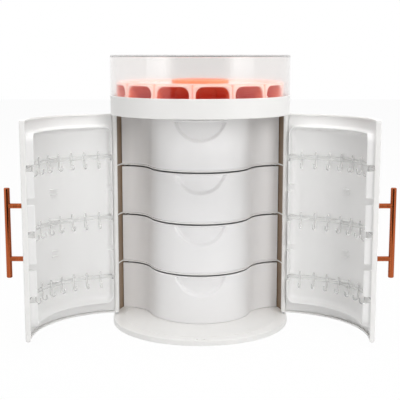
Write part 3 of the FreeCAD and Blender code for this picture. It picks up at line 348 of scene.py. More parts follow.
# Degrees along a band between two of its sections, and its corners' round at its ends, as a share
BAND_STEP = 2
END_SHARE = 0.2
# Sections of a turned piece
TURN_STEPS = 144
# Distance from a round at which a straight run begins to be shaded as flat, and the shortest such run
HOLD = 0.15
HELD_RUN = 2
# Sharp edges of pieces that are drawn with steep steps in their skin begin at a wider angle
STEEP_ANGLE = 50


def piece(name, shape, finish, body, stands_for, turn=None, sharp=SHARP_ANGLE):
    """Makes an object of a shape drawn in millimetres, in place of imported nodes."""
    bmesh.ops.scale(shape, vec=(MM, MM, MM), verts=shape.verts)
    if turn:
        bmesh.ops.transform(shape, matrix=turn, verts=shape.verts)
    bmesh.ops.recalc_face_normals(shape, faces=shape.faces)
    mesh = bpy.data.meshes.new(name)
    shape.to_mesh(mesh)
    shape.free()
    mesh.materials.append(finish)
    smooth(mesh, sharp)
    thing = bpy.data.objects.new(name, mesh)
    bpy.context.scene.collection.objects.link(thing)
    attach(thing, body)
    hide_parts(*stands_for)
    return thing


def in_door(side):
    """Places a shape drawn in the door's own frame, where the doors meet at +X and the hinge is
    near +Y, on the open door."""
    hinge = Vector((HINGE_SIDE * MM, HINGE_BACK * MM, 0))
    opened = Matrix.Rotation(math.radians(OPEN_ANGLE), 4, "Z")
    closed = Matrix.Rotation(math.radians(-90), 4, "Z")
    place = Matrix.Translation(hinge) @ opened @ Matrix.Translation(-hinge) @ closed
    return Matrix.Scale(-1, 4, (1, 0, 0)) @ place if side == "left" else place


def polar(radius, degrees, height):
    angle = math.radians(degrees)
    return Vector((radius * math.cos(angle), radius * math.sin(angle), height))


def loft(shape, rings, ends=True):
    """Joins closed rings of points, each with as many points as the next, into a skin."""
    rows = [[shape.verts.new(point) for point in ring] for ring in rings]
    for near, far in zip(rows, rows[1:]):
        for i in range(len(near)):
            j = (i + 1) % len(near)
            shape.faces.new((near[i], near[j], far[j], far[i]))
    if ends:
        shape.faces.new(rows[0])
        shape.faces.new(rows[-1])


def soft_box(low, high, bend, steps=3):
    """Corners of a rectangle with rounded corners, counter-clockwise from its lower right."""
    points = []
    centres = ((high[0], low[1], -90, 1, -1), (high[0], high[1], 0, 1, 1), (low[0], high[1], 90, -1, 1),
               (low[0], low[1], 180, -1, -1))
    for x, y, start, side_x, side_y in centres:
        for i in range(steps + 1):
            angle = math.radians(start + 90 * i / steps)
            points.append((x - side_x * bend + bend * math.cos(angle),
                           y - side_y * bend + bend * math.sin(angle)))
    return points


def band(shape, near, far, low, high, start, end, bend):
    """A bar with rounded edges and ends that follows an arc round the axis."""
    round_angle = math.degrees(bend / near)
    steps = max(2, math.ceil((end - start) / BAND_STEP))
    inner = [start + round_angle + (end - start - 2 * round_angle) * i / steps for i in range(steps + 1)]
    places = [(start, bend)] + [(angle, 0.0) for angle in inner] + [(end, bend)]
    rings = []
    for angle, trim in places:
        section = soft_box((near + trim, low + trim), (far - trim, high - trim),
                           bend if trim == 0 else END_SHARE * bend)
        rings.append([polar(radius, angle, height) for radius, height in section])
    loft(shape, rings)


def held(section):
    """A section with a point close to each end of its long straight runs, so that smooth shading
    stays within the rounds between them."""
    points = []
    for near, far in zip(section, section[1:] + section[:1]):
        points.append(near)
        run = math.dist(near, far)
        if run > HELD_RUN:
            for share in (HOLD / run, 1 - HOLD / run):
                points.append(tuple(a + (b - a) * share for a, b in zip(near, far)))
    return points


def turned(shape, section):
    """Turns a closed section of radius and height round the tower's axis."""
    section = held(section)
    rows = [[shape.verts.new(polar(radius, 360 * k / TURN_STEPS, height)) for radius, height in section]
            for k in range(TURN_STEPS)]
    for near, far in zip(rows, rows[1:] + rows[:1]):
        for i in range(len(section)):
            j = (i + 1) % len(section)
            shape.faces.new((near[i], near[j], far[j], far[i]))


def between(a, b, share):
    """The point at a share of the way from a to b."""
    return a[0] + (b[0] - a[0]) * share, a[1] + (b[1] - a[1]) * share


def corner(radius, height, bend, start, steps=4):
    """Points of a quarter circle round a centre, for a section."""
    return [(radius + bend * math.cos(math.radians(start + 90 * i / steps)),
             height + bend * math.sin(math.radians(start + 90 * i / steps))) for i in range(steps + 1)]


# The top tray: a ring round a plate with a shallow well for the insert's foot
TOWER_RADIUS = 120.0
RING_WALL = 2.5
RING_LOW = 287.0
RING_TOP = 312.0
PLATE_TOP = 289.4
WELL_RADIUS = 46.0
WELL_LOW = 281.8
WELL_WALL = 2.4
SPINDLE_HOLE = 2.55
TRAY_EDGE = 0.8


def make_top_tray():
    """The ring round the top and the plate in it."""
    shape = bmesh.new()
    inner = TOWER_RADIUS - RING_WALL
    section = [(SPINDLE_HOLE, WELL_LOW), (WELL_RADIUS, WELL_LOW), (WELL_RADIUS, RING_LOW)]
    section += corner(TOWER_RADIUS - TRAY_EDGE, RING_LOW + TRAY_EDGE, TRAY_EDGE, -90)
    section += corner(TOWER_RADIUS - TRAY_EDGE, RING_TOP - TRAY_EDGE, TRAY_EDGE, 0)
    section += corner(inner + TRAY_EDGE / 2, RING_TOP - TRAY_EDGE / 2, TRAY_EDGE / 2, 90)
    well = WELL_RADIUS - WELL_WALL
    section += [(inner, PLATE_TOP), (well, PLATE_TOP), (well, WELL_LOW + WELL_WALL),
                (SPINDLE_HOLE, WELL_LOW + WELL_WALL)]
    turned(shape, section)
    piece("top_ring_tray", shape, WHITE_ABS, "cabinet", ["top_tray"])


# The clear cover
COVER_LOW = 312.3
COVER_TOP = 365.0
COVER_WALL = 2.0
COVER_ROOF = 2.2
COVER_EDGE = 1.4
COVER_FOOT = 0.3
ROOF_FILLET = 1.0
# A point in the roof's middle would shade as a spike, so the turned roof starts just beside it
ROOF_MIDDLE = 0.5
LIP_LOW = 309.3
LIP_RADII = (115.6, 117.0)


def make_cover():
    """The cover: a thin wall and roof with soft edges, and a lip that drops inside the ring."""
    shape = bmesh.new()
    inner, ceiling = TOWER_RADIUS - COVER_WALL, COVER_TOP - COVER_ROOF
    section = [(ROOF_MIDDLE, ceiling)]
    section += list(reversed(corner(inner - ROOF_FILLET, ceiling - ROOF_FILLET, ROOF_FILLET, 0)))
    section += [(inner, COVER_LOW + COVER_WALL), (LIP_RADII[0], COVER_LOW + COVER_WALL),
                (LIP_RADII[0], LIP_LOW), (LIP_RADII[1], LIP_LOW), (LIP_RADII[1], COVER_LOW)]
    section += corner(TOWER_RADIUS - COVER_FOOT, COVER_LOW + COVER_FOOT, COVER_FOOT, -90)
    section += corner(TOWER_RADIUS - COVER_EDGE, COVER_TOP - COVER_EDGE, COVER_EDGE, 0, 6)
    section += [(ROOF_MIDDLE, COVER_TOP)]
    turned(shape, section)
    piece("clear_lid", shape, COVER_STYRENE, "cover", ["clear_cover"])


# The insert's ring of cups: their number and turn, and the arch of each in its cell of the outer wall
CUP_COUNT = 14
CUP_PHASE = 7.86
INSERT_RADIUS = 112.0
INSERT_TOP = 330.0
CUP_FLOOR_TOP = 292.5
CUP_WEB = 8.4
ARCH_LEVELS = (304.5, 326.0)
ARCH_ROUND = 10.0
CUP_SILL = 294.5
CUP_MOUTH = 108.4
MOUTH_STEP = 0.2
CUP_ROOT = 70.0
ROOT_ROUND = 9.0
GROOVE_DEPTH = 1.6
# Steps from the skin back to the groove, room between neighbouring cups and room over the cell
GROOVE_STEPS = (1.5, 0.3)
CUP_JOINT = 0.05
CELL_ROOM = 1.2
# A point of an arch nearer to its middle line than this has no way sideways to its cell's edge
ON_MIDDLE = 1e-6
# How far a cup's block reaches behind its hollow, and over the arch there
BLOCK_BACK = 3
BLOCK_RISE = 1
BLOCK_ROUND = 2
# Places of the sections of a cup's hollow, as shares of its depth, and of its rounded end: size
# and share of the depth
HOLLOW_SHARES = (0.0, 0.1, 0.4, 0.7, 0.93)
HOLLOW_END = ((0.97, 0.985), (0.9, 1.0))
# Across the rim of an arch, from the hollow outwards: share of the way to the cell's edge and how
# far the skin lies under the insert's radius
ARCH_RIM = ((0.0, 2.4), (0.03, 1.3), (0.1, 0.5), (0.22, 0.1), (0.4, 0.0), (0.62, 0.12), (0.8, 0.5))

# Section of the deck: underside, middle of its round outer edge, and the dip inside the rim
DECK_UNDER = ((38.1, 327.0), (109.0, 327.0), (109.8, 327.6), (110.1, 328.4))
DECK_EDGE = (108.8, 328.7)
DECK_ROUND = 1.3
DECK_DIP = ((107.4, 329.95), (106.3, 329.6), (105.3, 328.9), (104.3, 328.2), (103.2, 327.8), (38.1, 327.7))


def arch_line(half, low, high, bend, steps=6):
    """An arch with a level sill and round upper corners, from its lower right corner round to the left."""
    points = [(half, low + (high - bend - low) * i / 3) for i in range(3)]
    for x, start in ((half - bend, 0), (bend - half, 90)):
        for i in range(steps + 1):
            angle = math.radians(start + 90 * i / steps)
            points.append((x + bend * math.cos(angle), high - bend + bend * math.sin(angle)))
    points += [(-half, high - bend - (high - bend - low) * i / 3) for i in range(1, 4)]
    return points + [(half - 2 * half * i / 8, low) for i in range(7, 0, -1)]


def make_cup(number):
    """One cup of the insert: an arch with a soft rim in the outer wall, a groove beside it and the
    hollow behind."""
    shape = bmesh.new()
    tangent = math.tan(math.pi / CUP_COUNT)
    turn = CUP_PHASE - 90 + (number - 1) * 360 / CUP_COUNT

    def point(radius, across, height):
        return polar(radius, turn + math.degrees(across / radius), height)

    half = CUP_MOUTH * tangent - CUP_WEB / 2
    arch = arch_line(half, ARCH_LEVELS[0], ARCH_LEVELS[1], ARCH_ROUND)
    sides = math.pi * INSERT_RADIUS / CUP_COUNT - CUP_JOINT
    middle = (ARCH_LEVELS[0] + ARCH_LEVELS[1]) / 2
    cell = []
    for x, z in arch:
        reaches = []
        if abs(x) > ON_MIDDLE:
            reaches.append((sides - abs(x)) / abs(x))
        if abs(z - middle) > ON_MIDDLE:
            limit = INSERT_TOP - CELL_ROOM if z > middle else CUP_FLOOR_TOP
            reaches.append((limit - z) / (z - middle))
        reach = 1 + min(reaches)
        cell.append((x * reach, middle + (z - middle) * reach))
    block = arch_line(CUP_ROOT * tangent - 2 * CUP_JOINT, CUP_FLOOR_TOP, ARCH_LEVELS[1] + BLOCK_RISE,
                      BLOCK_ROUND)
    rings = [[point(CUP_ROOT - BLOCK_BACK, x, z) for x, z in block]]
    for step in GROOVE_STEPS:
        rings.append([point(INSERT_RADIUS - GROOVE_DEPTH - step, x, z) for x, z in cell])
    for share, sink in reversed(ARCH_RIM):
        rings.append([point(INSERT_RADIUS - sink, *between(a, b, share)) for a, b in zip(arch, cell)])
    rings.append([point(CUP_MOUTH + MOUTH_STEP, x, z) for x, z in arch])
    mouth = arch_line(half, CUP_SILL, ARCH_LEVELS[1], ARCH_ROUND)
    root = arch_line(CUP_ROOT * tangent - CUP_WEB / 2, CUP_SILL, ARCH_LEVELS[1], ROOT_ROUND)
    depth = CUP_MOUTH - CUP_ROOT
    for share in HOLLOW_SHARES:
        rings.append([point(CUP_MOUTH - depth * share, *between(a, b, share)) for a, b in zip(mouth, root)])
    core = (0.0, (CUP_SILL + ARCH_LEVELS[1]) / 2)
    for size, share in HOLLOW_END:
        rings.append([point(CUP_MOUTH - depth * share, *between(core, corner_point, size))
                      for corner_point in root])
    loft(shape, rings)
    name = "%02d" % number
    piece("cup_" + name, shape, CORAL_STYRENE, "carousel", ["carousel_cup_" + name],
          sharp=STEEP_ANGLE)


def make_deck():
    """The insert's deck, sunk between the collar of the bowl and a raised soft rim over the arches."""
    shape = bmesh.new()
    section = list(DECK_UNDER) + corner(DECK_EDGE[0], DECK_EDGE[1], DECK_ROUND, 0)[1:] + list(DECK_DIP)
    turned(shape, section)
    piece("cup_deck", shape, LIT_CORAL_DECK, "carousel", ["carousel_deck"])


# The drawers: the S-shaped front in plan, the tray behind it and the finger scoop
BULGE_RADIUS = 70.8
BULGE_Y = 22.8
SHOULDER_RADIUS = 45.0
SHOULDER_X = 111.7
SHOULDER_Y = -7.74
DRAWER_CORNER = (109.3, 37.2)
FLANGE_BACK = 39.2
TRAY_RADIUS = 111.5
TRAY_WALL = 2.2
TRAY_FLOOR = (3.5, 5.7)
DRAWER_HEIGHTS = (66.2, 64.8, 64.8, 64.8)
DRAWER_BOTTOMS = (215.1, 146.1, 77.1, 8.1)
# Points nearer than this are one
TRAY_WELD = 0.0005
RIM_OUT = 0.9
RIM_IN = 0.6
SCOOP_RADIUS = 35.1
SCOOP_LEVEL = 72.7
SCOOP_LIP = (1.0, 2.4)
SCOOP_DEPTH = 5.5
SCOOP_SOFT = (1.2, 4.8)
# Half angle of the front that the scoop's points cover, and the counts of points of a drawer's outline
SCOOP_SPAN = 31.5
SCOOP_STEPS = 42
BULGE_STEPS = 16
HOLLOW_STEPS = 24
BACK_STEPS = 12
# Notches in the skirt for the runners, at the back
NOTCH_SIDES = (57.5, 62.5)
NOTCH_HEIGHT = 2.4
NOTCH_BACK = 60
# Rows of points up the outside: inset and height by the foot, the evenly spaced ones that carry the
# scoop, and those under the lip, by their distance from the top
FOOT_ROWS = ((0.3, 0.0), (0.09, 0.09), (0.0, 0.3), (0.0, 3.5), (0.0, 14.0), (0.0, 24.0), (0.0, 32.0))
FRONT_ROWS = 30
FRONT_ROWS_LOW = 35.0
LIP_ROWS = (4.2, 3.7, 3.2, 2.75, 2.3, 1.9, 1.5, 1.2)
# Down the inside: evenly spaced rows to where the scoop ends, then one over the floor
INNER_ROWS = 24
INNER_ROWS_LOW = 34.0
INNER_ROW_LAST = 20.0
DRAWER_BODIES = ("first_drawer", "second_drawer", "third_drawer", "fourth_drawer")


def tray_half(inset):
    """Half of a drawer's outline in plan, from the middle of the front to the middle of the back,
    moved inwards by inset."""
    bulge, hollow, back = BULGE_RADIUS - inset, SHOULDER_RADIUS + inset, TRAY_RADIUS - inset
    join = math.degrees(math.atan2(SHOULDER_X, BULGE_Y - SHOULDER_Y))
    angles = [SCOOP_SPAN * i / SCOOP_STEPS for i in range(SCOOP_STEPS)]
    angles += [SCOOP_SPAN + (join - SCOOP_SPAN) * i / BULGE_STEPS for i in range(BULGE_STEPS)]
    points = [(bulge * math.sin(math.radians(a)), BULGE_Y - bulge * math.cos(math.radians(a)))
              for a in angles]
    if inset < TRAY_WALL / 2:
        end = (DRAWER_CORNER[0] - inset, DRAWER_CORNER[1])
        behind = (end[0], FLANGE_BACK)
        start = math.degrees(math.asin(FLANGE_BACK / back))
    else:
        far = SHOULDER_X ** 2 + SHOULDER_Y ** 2
        along = (back ** 2 - hollow ** 2 + far) / (2 * far)
        across = math.sqrt(back ** 2 / far - along ** 2)
        end = (along * SHOULDER_X - across * SHOULDER_Y, along * SHOULDER_Y + across * SHOULDER_X)
        behind = end
        start = math.degrees(math.atan2(end[1], end[0]))
    first = 90 + join
    last = math.degrees(math.atan2(end[1] - SHOULDER_Y, end[0] - SHOULDER_X))
    for i in range(HOLLOW_STEPS + 1):
        angle = math.radians(first + (last - first) * i / HOLLOW_STEPS)
        points.append((SHOULDER_X + hollow * math.cos(angle), SHOULDER_Y + hollow * math.sin(angle)))
    points += [behind]
    near, far = [math.degrees(math.acos(side / back)) for side in reversed(NOTCH_SIDES)]
    slip = 0.01
    sweep = [start + (near - slip - start) * i / BACK_STEPS for i in range(BACK_STEPS + 1)]
    sweep += [near + slip, far - slip]
    sweep += [far + slip + (90 - far - slip) * i / BACK_STEPS for i in range(BACK_STEPS + 1)]
    points += [(back * math.cos(math.radians(a)), back * math.sin(math.radians(a))) for a in sweep]
    return points


def eased(share):
    """A share held between 0 and 1, with soft ends."""
    share = min(1.0, max(0.0, share))
    return share * share * (3 - 2 * share)


def scoop_share(x, height, below_top):
    """How deep the finger scoop is at a point of the front, from 0 outside it to 1. A thin lip runs
    over it along the top edge."""
    inside = SCOOP_RADIUS - math.hypot(x, SCOOP_LEVEL - height)
    return eased((inside + SCOOP_SOFT[0]) / SCOOP_SOFT[1]) * eased((below_top - SCOOP_LIP[0]) / SCOOP_LIP[1])


def make_drawer(number, bottom):
    """A drawer: S-shaped front with a soft rim and finger scoop, walls, floor and skirt."""
    shape = bmesh.new()
    core = BULGE_RADIUS - SCOOP_DEPTH
    top = DRAWER_HEIGHTS[number - 1]

    def ring(inset, height, extra=0.0):
        half = []
        for i, (x, y) in enumerate(tray_half(inset)):
            if i <= SCOOP_STEPS:
                dip = scoop_share(x * (1 - extra / SCOOP_RADIUS), height + extra, top - height)
                y += dip * (math.sqrt(BULGE_RADIUS ** 2 - x * x) - math.sqrt(core ** 2 - x * x))
            lift = 0.0
            if y > NOTCH_BACK and NOTCH_SIDES[0] < x < NOTCH_SIDES[1]:
                lift = max(0.0, NOTCH_HEIGHT - height)
            half.append((x, y, bottom + height + lift))
        return [Vector(v) for v in half] + [Vector((-x, y, z)) for x, y, z in reversed(half[1:-1])]

    rows = [(TRAY_WALL, TRAY_FLOOR[0]), (TRAY_WALL, 0.0)] + list(FOOT_ROWS)
    rise = top - LIP_ROWS[0] - FRONT_ROWS_LOW
    rows += [(0.0, FRONT_ROWS_LOW + rise * i / FRONT_ROWS) for i in range(FRONT_ROWS)]
    rows += [(0.0, top - below) for below in LIP_ROWS]
    for i in range(5):
        turn = math.radians(22.5 * i)
        rows.append((RIM_OUT * (1 - math.cos(turn)), top - RIM_OUT + RIM_OUT * math.sin(turn)))
    walls = [ring(inset, height) for inset, height in rows]
    inner = []
    for i in range(4):
        turn = math.radians(30 * i)
        inner.append((TRAY_WALL - RIM_IN + RIM_IN * math.sin(turn), top - RIM_IN + RIM_IN * math.cos(turn)))
    fall = top - RIM_IN - INNER_ROWS_LOW
    inner += [(TRAY_WALL, top - RIM_IN - fall * i / INNER_ROWS) for i in range(1, INNER_ROWS + 1)]
    inner += [(TRAY_WALL, INNER_ROW_LAST), (TRAY_WALL, TRAY_FLOOR[1] + 0.5),
              (TRAY_WALL + 0.15, TRAY_FLOOR[1] + 0.15), (TRAY_WALL + 0.5, TRAY_FLOOR[1])]
    walls += [ring(inset, height, TRAY_WALL) for inset, height in inner]
    loft(shape, walls)
    bmesh.ops.remove_doubles(shape, verts=shape.verts, dist=TRAY_WELD)
    piece("tray_%d" % number, shape, DRAWER_PLASTIC, DRAWER_BODIES[number - 1],
          ["drawer_%d" % number], sharp=STEEP_ANGLE)


# The doors: place of the hinge, opening and heights
HINGE_SIDE = 116.2
HINGE_BACK = 4.8
OPEN_ANGLE = 80
DOOR_MIDDLE_HEIGHT = 148.2

# The inner frame of a door: radii, angles and half heights
LINER_FACE = 113.4
LINER_BACK = 117.3
LINER_ANGLES = (1.315, 90.64)
LINER_HALF_HEIGHT = 136.1
FLANGE_SLOPE_LENGTH = 14.0
FLANGE_SLOPE_RISE = 2.6
RECESS_FLOOR = 115.7
RECESS_ANGLES = (4.306, 89.02)
RECESS_HALF_HEIGHT = 120.2
RECESS_ROUND = 9.0
RIDGE_WIDTH = 2.4
# Section of the ridge from the recess outwards: offset from the recess's edge and radius
RIDGE_SECTION = ((-8.2, 115.7), (-6.4, 115.58), (-4.9, 115.2), (-3.7, 114.5), (-2.7, 113.4), (-1.9, 111.8),
                 (-1.3, 109.8), (-0.8, 107.4), (-0.35, 105.2), (0.05, 104.1), (0.55, 103.55), (1.2, 103.4),
                 (1.8, 103.6), (2.25, 104.3), (2.4, 105.4))
# How far the ridge stands off the face beyond its outer edge, by share of the hollow round's width
FOOT_SECTION = ((0.06, 6.4), (0.14, 3.6), (0.28, 1.9), (0.5, 0.75), (0.75, 0.18), (1.0, 0.0))
FOOT_ROUND = 2.8
RIM_ROUND = 0.6
FLOOR_RINGS = 13
BACK_RINGS = 7
HOOK_LEVELS = (228.0, 186.5, 145.0, 103.5, 62.0)
NOTCH_HALF = 4.0
NOTCH_EDGE = 0.35
# Clear of a notch, the points of an upright side stand this far off it
NOTCH_CLEAR = 2
NOTCH_FAR = 1.2
# How soft the face bends into its slope
KNEE = 1.5
CORNER_STEPS = 8
SIDE_STEPS = 26
TOP_STEPS = 32
# Rings across the face between the ridge's foot and the rim, and over the rim: how far in and down
FACE_SHARES = (0.3, 0.6, 0.85)
RIM_SECTION = ((0.3, 0.08), (0.09, 0.3), (0.0, RIM_ROUND))
# Share of a narrow face that the ridge's foot may take
FOOT_MOST = 0.7
# Clasps that hold the hook bars: middle angle, width and half of the grip's height
CLASP_ANGLE = 46.5
CLASP_WIDTH = 12.0
CLASP_GRIP = 2.65
CLASP_SINK = 0.3
CLASP_EDGE = 0.35
# Slope below which a direction counts as level or upright, and points nearer than this are one
LEVEL_SLOPE = 1e-6
LINER_WELD = 0.001


def face_radius(height):
    """Radius of the liner's face, which slopes back along the top and bottom edge."""
    into = FLANGE_SLOPE_LENGTH - (LINER_HALF_HEIGHT - abs(height))
    if into > KNEE:
        run = into
    elif into > -KNEE:
        run = (into + KNEE) ** 2 / (4 * KNEE)
    else:
        run = 0.0
    return LINER_FACE + FLANGE_SLOPE_RISE * run / FLANGE_SLOPE_LENGTH


def notch_share(height):
    """How open the ridge is at a height along its upright sides, from 0 to 1."""
    nearest = min(abs(height + DOOR_MIDDLE_HEIGHT - level) for level in HOOK_LEVELS)
    return min(1.0, max(0.0, (NOTCH_HALF + NOTCH_EDGE - nearest) / (2 * NOTCH_EDGE)))


def frame_outline():
    """The recess's outline as arc centre, direction outwards and whether it is an upright side,
    in millimetres along the arc and up from the middle."""
    half_width = math.radians(RECESS_ANGLES[1] - RECESS_ANGLES[0]) * LINER_FACE / 2
    side, top = half_width - RECESS_ROUND, RECESS_HALF_HEIGHT - RECESS_ROUND
    heights = {round(-top + 2 * top * i / SIDE_STEPS, 3) for i in range(1, SIDE_STEPS)}
    for level in HOOK_LEVELS:
        middle = level - DOOR_MIDDLE_HEIGHT
        heights = {h for h in heights if abs(h - middle) > NOTCH_HALF + NOTCH_CLEAR}
        for off in (0.0, NOTCH_HALF - NOTCH_EDGE, NOTCH_HALF, NOTCH_HALF + NOTCH_EDGE,
                    NOTCH_HALF + NOTCH_FAR):
            heights |= {middle - off, middle + off}
    heights = sorted(heights)
    widths = [-side + 2 * side * i / TOP_STEPS for i in range(1, TOP_STEPS)]
    outline = []
    for x, y, start, run in ((side, top, 0, [(u, top, 90) for u in reversed(widths)]),
                             (-side, top, 90, [(-side, z, 180) for z in reversed(heights)]),
                             (-side, -top, 180, [(u, -top, 270) for u in widths]),
                             (side, -top, 270, [(side, z, 0) for z in heights])):
        outline += [(x, y, start + 90 * i / CORNER_STEPS, False) for i in range(CORNER_STEPS + 1)]
        outline += [(u, z, angle, angle % 180 == 0) for u, z, angle in run]
    return outline, half_width


def moved_out(item, away):
    """The place at a distance outwards from the arc centre of a point of the recess's outline."""
    u, z, angle, upright = item
    return u + away * math.cos(math.radians(angle)), z + away * math.sin(math.radians(angle))


def frame_edge(item, ends):
    """The place on the frame's outer edge that lies straight outwards from a point of the outline."""
    u, z, angle, upright = item
    along, up = math.cos(math.radians(angle)), math.sin(math.radians(angle))
    reaches = []
    if abs(along) > LEVEL_SLOPE:
        reaches.append((ends[1 if along > 0 else 0] - u) / along)
    if abs(up) > LEVEL_SLOPE:
        reaches.append((math.copysign(LINER_HALF_HEIGHT, up) - z) / up)
    return moved_out(item, min(reaches))


def make_liner(side):
    """The inner frame of a door as formed from sheet: a recess in a soft ridge, with notches
    for the hook bars and a clasp at each level."""
    shape = bmesh.new()
    outline, half_width = frame_outline()
    opened = [notch_share(z) if upright else 0.0 for u, z, angle, upright in outline]
    middle = sum(RECESS_ANGLES) / 2
    ends = [math.radians(angle - middle) * LINER_FACE for angle in LINER_ANGLES]

    def point(u, height, radius):
        return polar(radius, middle + math.degrees(u / LINER_FACE), DOOR_MIDDLE_HEIGHT + height)

    # the recess's floor, from a line down its middle, and the ridge
    spine = RECESS_HALF_HEIGHT - half_width
    first, floor = RIDGE_SECTION[0]
    inner = [moved_out(item, RECESS_ROUND + first) for item in outline]
    core = [(0.0, min(spine, max(-spine, z))) for u, z in inner]
    rings = []
    for k in range(FLOOR_RINGS):
        share = 1 - k / FLOOR_RINGS
        rings.append([point(*between(at, centre, share), floor) for at, centre in zip(inner, core)])
    for offset, radius in RIDGE_SECTION:
        rings.append([point(*moved_out(item, RECESS_ROUND + offset), radius + (floor - radius) * share)
                      for item, share in zip(outline, opened)])
    # the ridge's foot, the face beyond it and the rim
    foot = [Vector(moved_out(item, RECESS_ROUND + RIDGE_WIDTH)) for item in outline]
    edge = [Vector(frame_edge(item, ends)) for item in outline]
    for share, stand in FOOT_SECTION:
        ring = []
        for a, b, notch in zip(foot, edge, opened):
            at = a + (b - a).normalized() * share * min(FOOT_ROUND, (b - a).length * FOOT_MOST)
            ring.append(point(at.x, at.y, face_radius(at.y) - stand * (1 - notch)))
        rings.append(ring)
    for share in FACE_SHARES:
        ring = []
        for a, b in zip(foot, edge):
            room = (b - a).length
            start = min(FOOT_ROUND, room * FOOT_MOST)
            at = a + (b - a).normalized() * (start + (max(room - RIM_ROUND, start) - start) * share)
            ring.append(point(at.x, at.y, face_radius(at.y)))
        rings.append(ring)
    for back, drop in RIM_SECTION:
        ring = []
        for a, b in zip(foot, edge):
            at = b - (b - a).normalized() * back
            ring.append(point(at.x, at.y, face_radius(at.y) + drop))
        rings.append(ring)
    for k in range(BACK_RINGS + 1):
        share = k / BACK_RINGS
        rings.append([point(b.x + (v[0] - b.x) * share, b.y + (v[1] - b.y) * share, LINER_BACK)
                      for b, v in zip(edge, core)])
    loft(shape, rings, ends=False)
    bmesh.ops.remove_doubles(shape, verts=shape.verts, dist=LINER_WELD)
    half = math.degrees(CLASP_WIDTH / 2 / RECESS_FLOOR)
    for level in HOOK_LEVELS:
        for low, high in ((-NOTCH_HALF, -CLASP_GRIP), (CLASP_GRIP, NOTCH_HALF)):
            band(shape, LINER_FACE, RECESS_FLOOR + CLASP_SINK, level + low, level + high,
                 CLASP_ANGLE - half, CLASP_ANGLE + half, CLASP_EDGE)
    piece(side + "_inner_frame", shape, LINER_SHEET, side + "_door", [side + "_door_liner"],
          in_door(side))


# Hook bars and their hooks
BAR_RADII = (113.9, 115.4)
BAR_HALF_HEIGHT = 2.5
TAB_HALF_HEIGHT = 3.85
TAB_WIDTH = 2.5
HOOK_ANGLES = (21.5, 81.0)
HOOK_COUNT = 7
HOOK_THICKNESS = 1.5
HOOK_WIDTH = 2.4
# Points of a hook's shank over and under the bar's middle
HOOK_RISES = (7.5, 2, -4)
HOOK_DROP = 11.0
HOOK_BEND = 3.35
HOOK_TIP = 3.5
HOOK_RADIUS = 113.85
# Rounds of the bars' edges, room at their ends, and how far the tabs stand off the bar
BAR_EDGE = 0.4
BAR_END_ROOM = 0.2
TAB_PROUD = 0.02
# Sections of a hook: points, squareness, and the smaller section beyond its ends
ROD_POINTS = 12
ROD_SQUARE = 0.6
ROD_TIP = 0.25
ROD_TIP_SIZE = 0.55


def hook_line(level):
    """Middle line of a hook from its upper end to its tip, as radius and height."""
    line = [(HOOK_RADIUS, level + rise) for rise in HOOK_RISES]
    centre = HOOK_RADIUS - HOOK_BEND
    for i in range(9):
        angle = math.radians(180 * i / 8)
        line.append((centre + HOOK_BEND * math.cos(angle), level - HOOK_DROP - HOOK_BEND * math.sin(angle)))
    return line + [(centre - HOOK_BEND, level - HOOK_DROP + HOOK_TIP)]


def rod(shape, line, angle, thick, wide):
    """A bar of rounded section along a line of radius and height, in the upright plane at an angle."""
    across = polar(1.0, angle + 90, 0)
    points = [polar(radius, angle, height) for radius, height in line]
    ahead = [(b - a).normalized() for a, b in zip(points, points[1:])]
    rings = []
    last = len(points) - 1
    stations = [(0, ROD_TIP_SIZE)] + [(i, 1.0) for i in range(len(points))] + [(last, ROD_TIP_SIZE)]
    for i, size in stations:
        way = (ahead[max(i - 1, 0)] + ahead[min(i, last - 1)]).normalized()
        normal = way.cross(across)
        if size < 1:
            spot = points[i] + way * (-ROD_TIP if i == 0 else ROD_TIP)
        else:
            spot = points[i]
        ring = []
        for k in range(ROD_POINTS):
            turn = 2 * math.pi * k / ROD_POINTS
            x, y = math.cos(turn), math.sin(turn)
            x, y = math.copysign(abs(x) ** ROD_SQUARE, x), math.copysign(abs(y) ** ROD_SQUARE, y)
            ring.append(spot + across * (x * wide / 2 * size) + normal * (y * thick / 2 * size))
        rings.append(ring)
    loft(shape, rings)


def make_hook_bar(side, name, level):
    """A clear bar in the notches of the inner frame, with a row of necklace hooks."""
    shape = bmesh.new()
    reach = math.degrees(TAB_WIDTH / LINER_FACE)
    start, end = RECESS_ANGLES[0] - reach, RECESS_ANGLES[1] + reach
    band(shape, *BAR_RADII, level - BAR_HALF_HEIGHT, level + BAR_HALF_HEIGHT, start + BAR_END_ROOM,
         end - BAR_END_ROOM, BAR_EDGE)
    for at in (start, end - reach):
        band(shape, BAR_RADII[0] - TAB_PROUD, BAR_RADII[1] + TAB_PROUD, level - TAB_HALF_HEIGHT,
             level + TAB_HALF_HEIGHT, at, at + reach, BAR_EDGE)
    for k in range(HOOK_COUNT):
        angle = HOOK_ANGLES[0] + (HOOK_ANGLES[1] - HOOK_ANGLES[0]) * k / (HOOK_COUNT - 1)
        rod(shape, hook_line(level), angle, HOOK_THICKNESS, HOOK_WIDTH)
    piece("%s_hooks_%s" % (side, name), shape, HOOK_STYRENE, side + "_door",
          ["%s_hook_bar_%s" % (side, name)], in_door(side))


make_top_tray()
make_cover()
make_deck()
for number in range(1, CUP_COUNT + 1):
    make_cup(number)
for number, bottom in enumerate(DRAWER_BOTTOMS, 1):
    make_drawer(number, bottom)
for side in SIDES:
    make_liner(side)
    for name, level in zip(("top", "middle", "bottom"), HOOK_LEVELS[::2]):
        make_hook_bar(side, name, level)


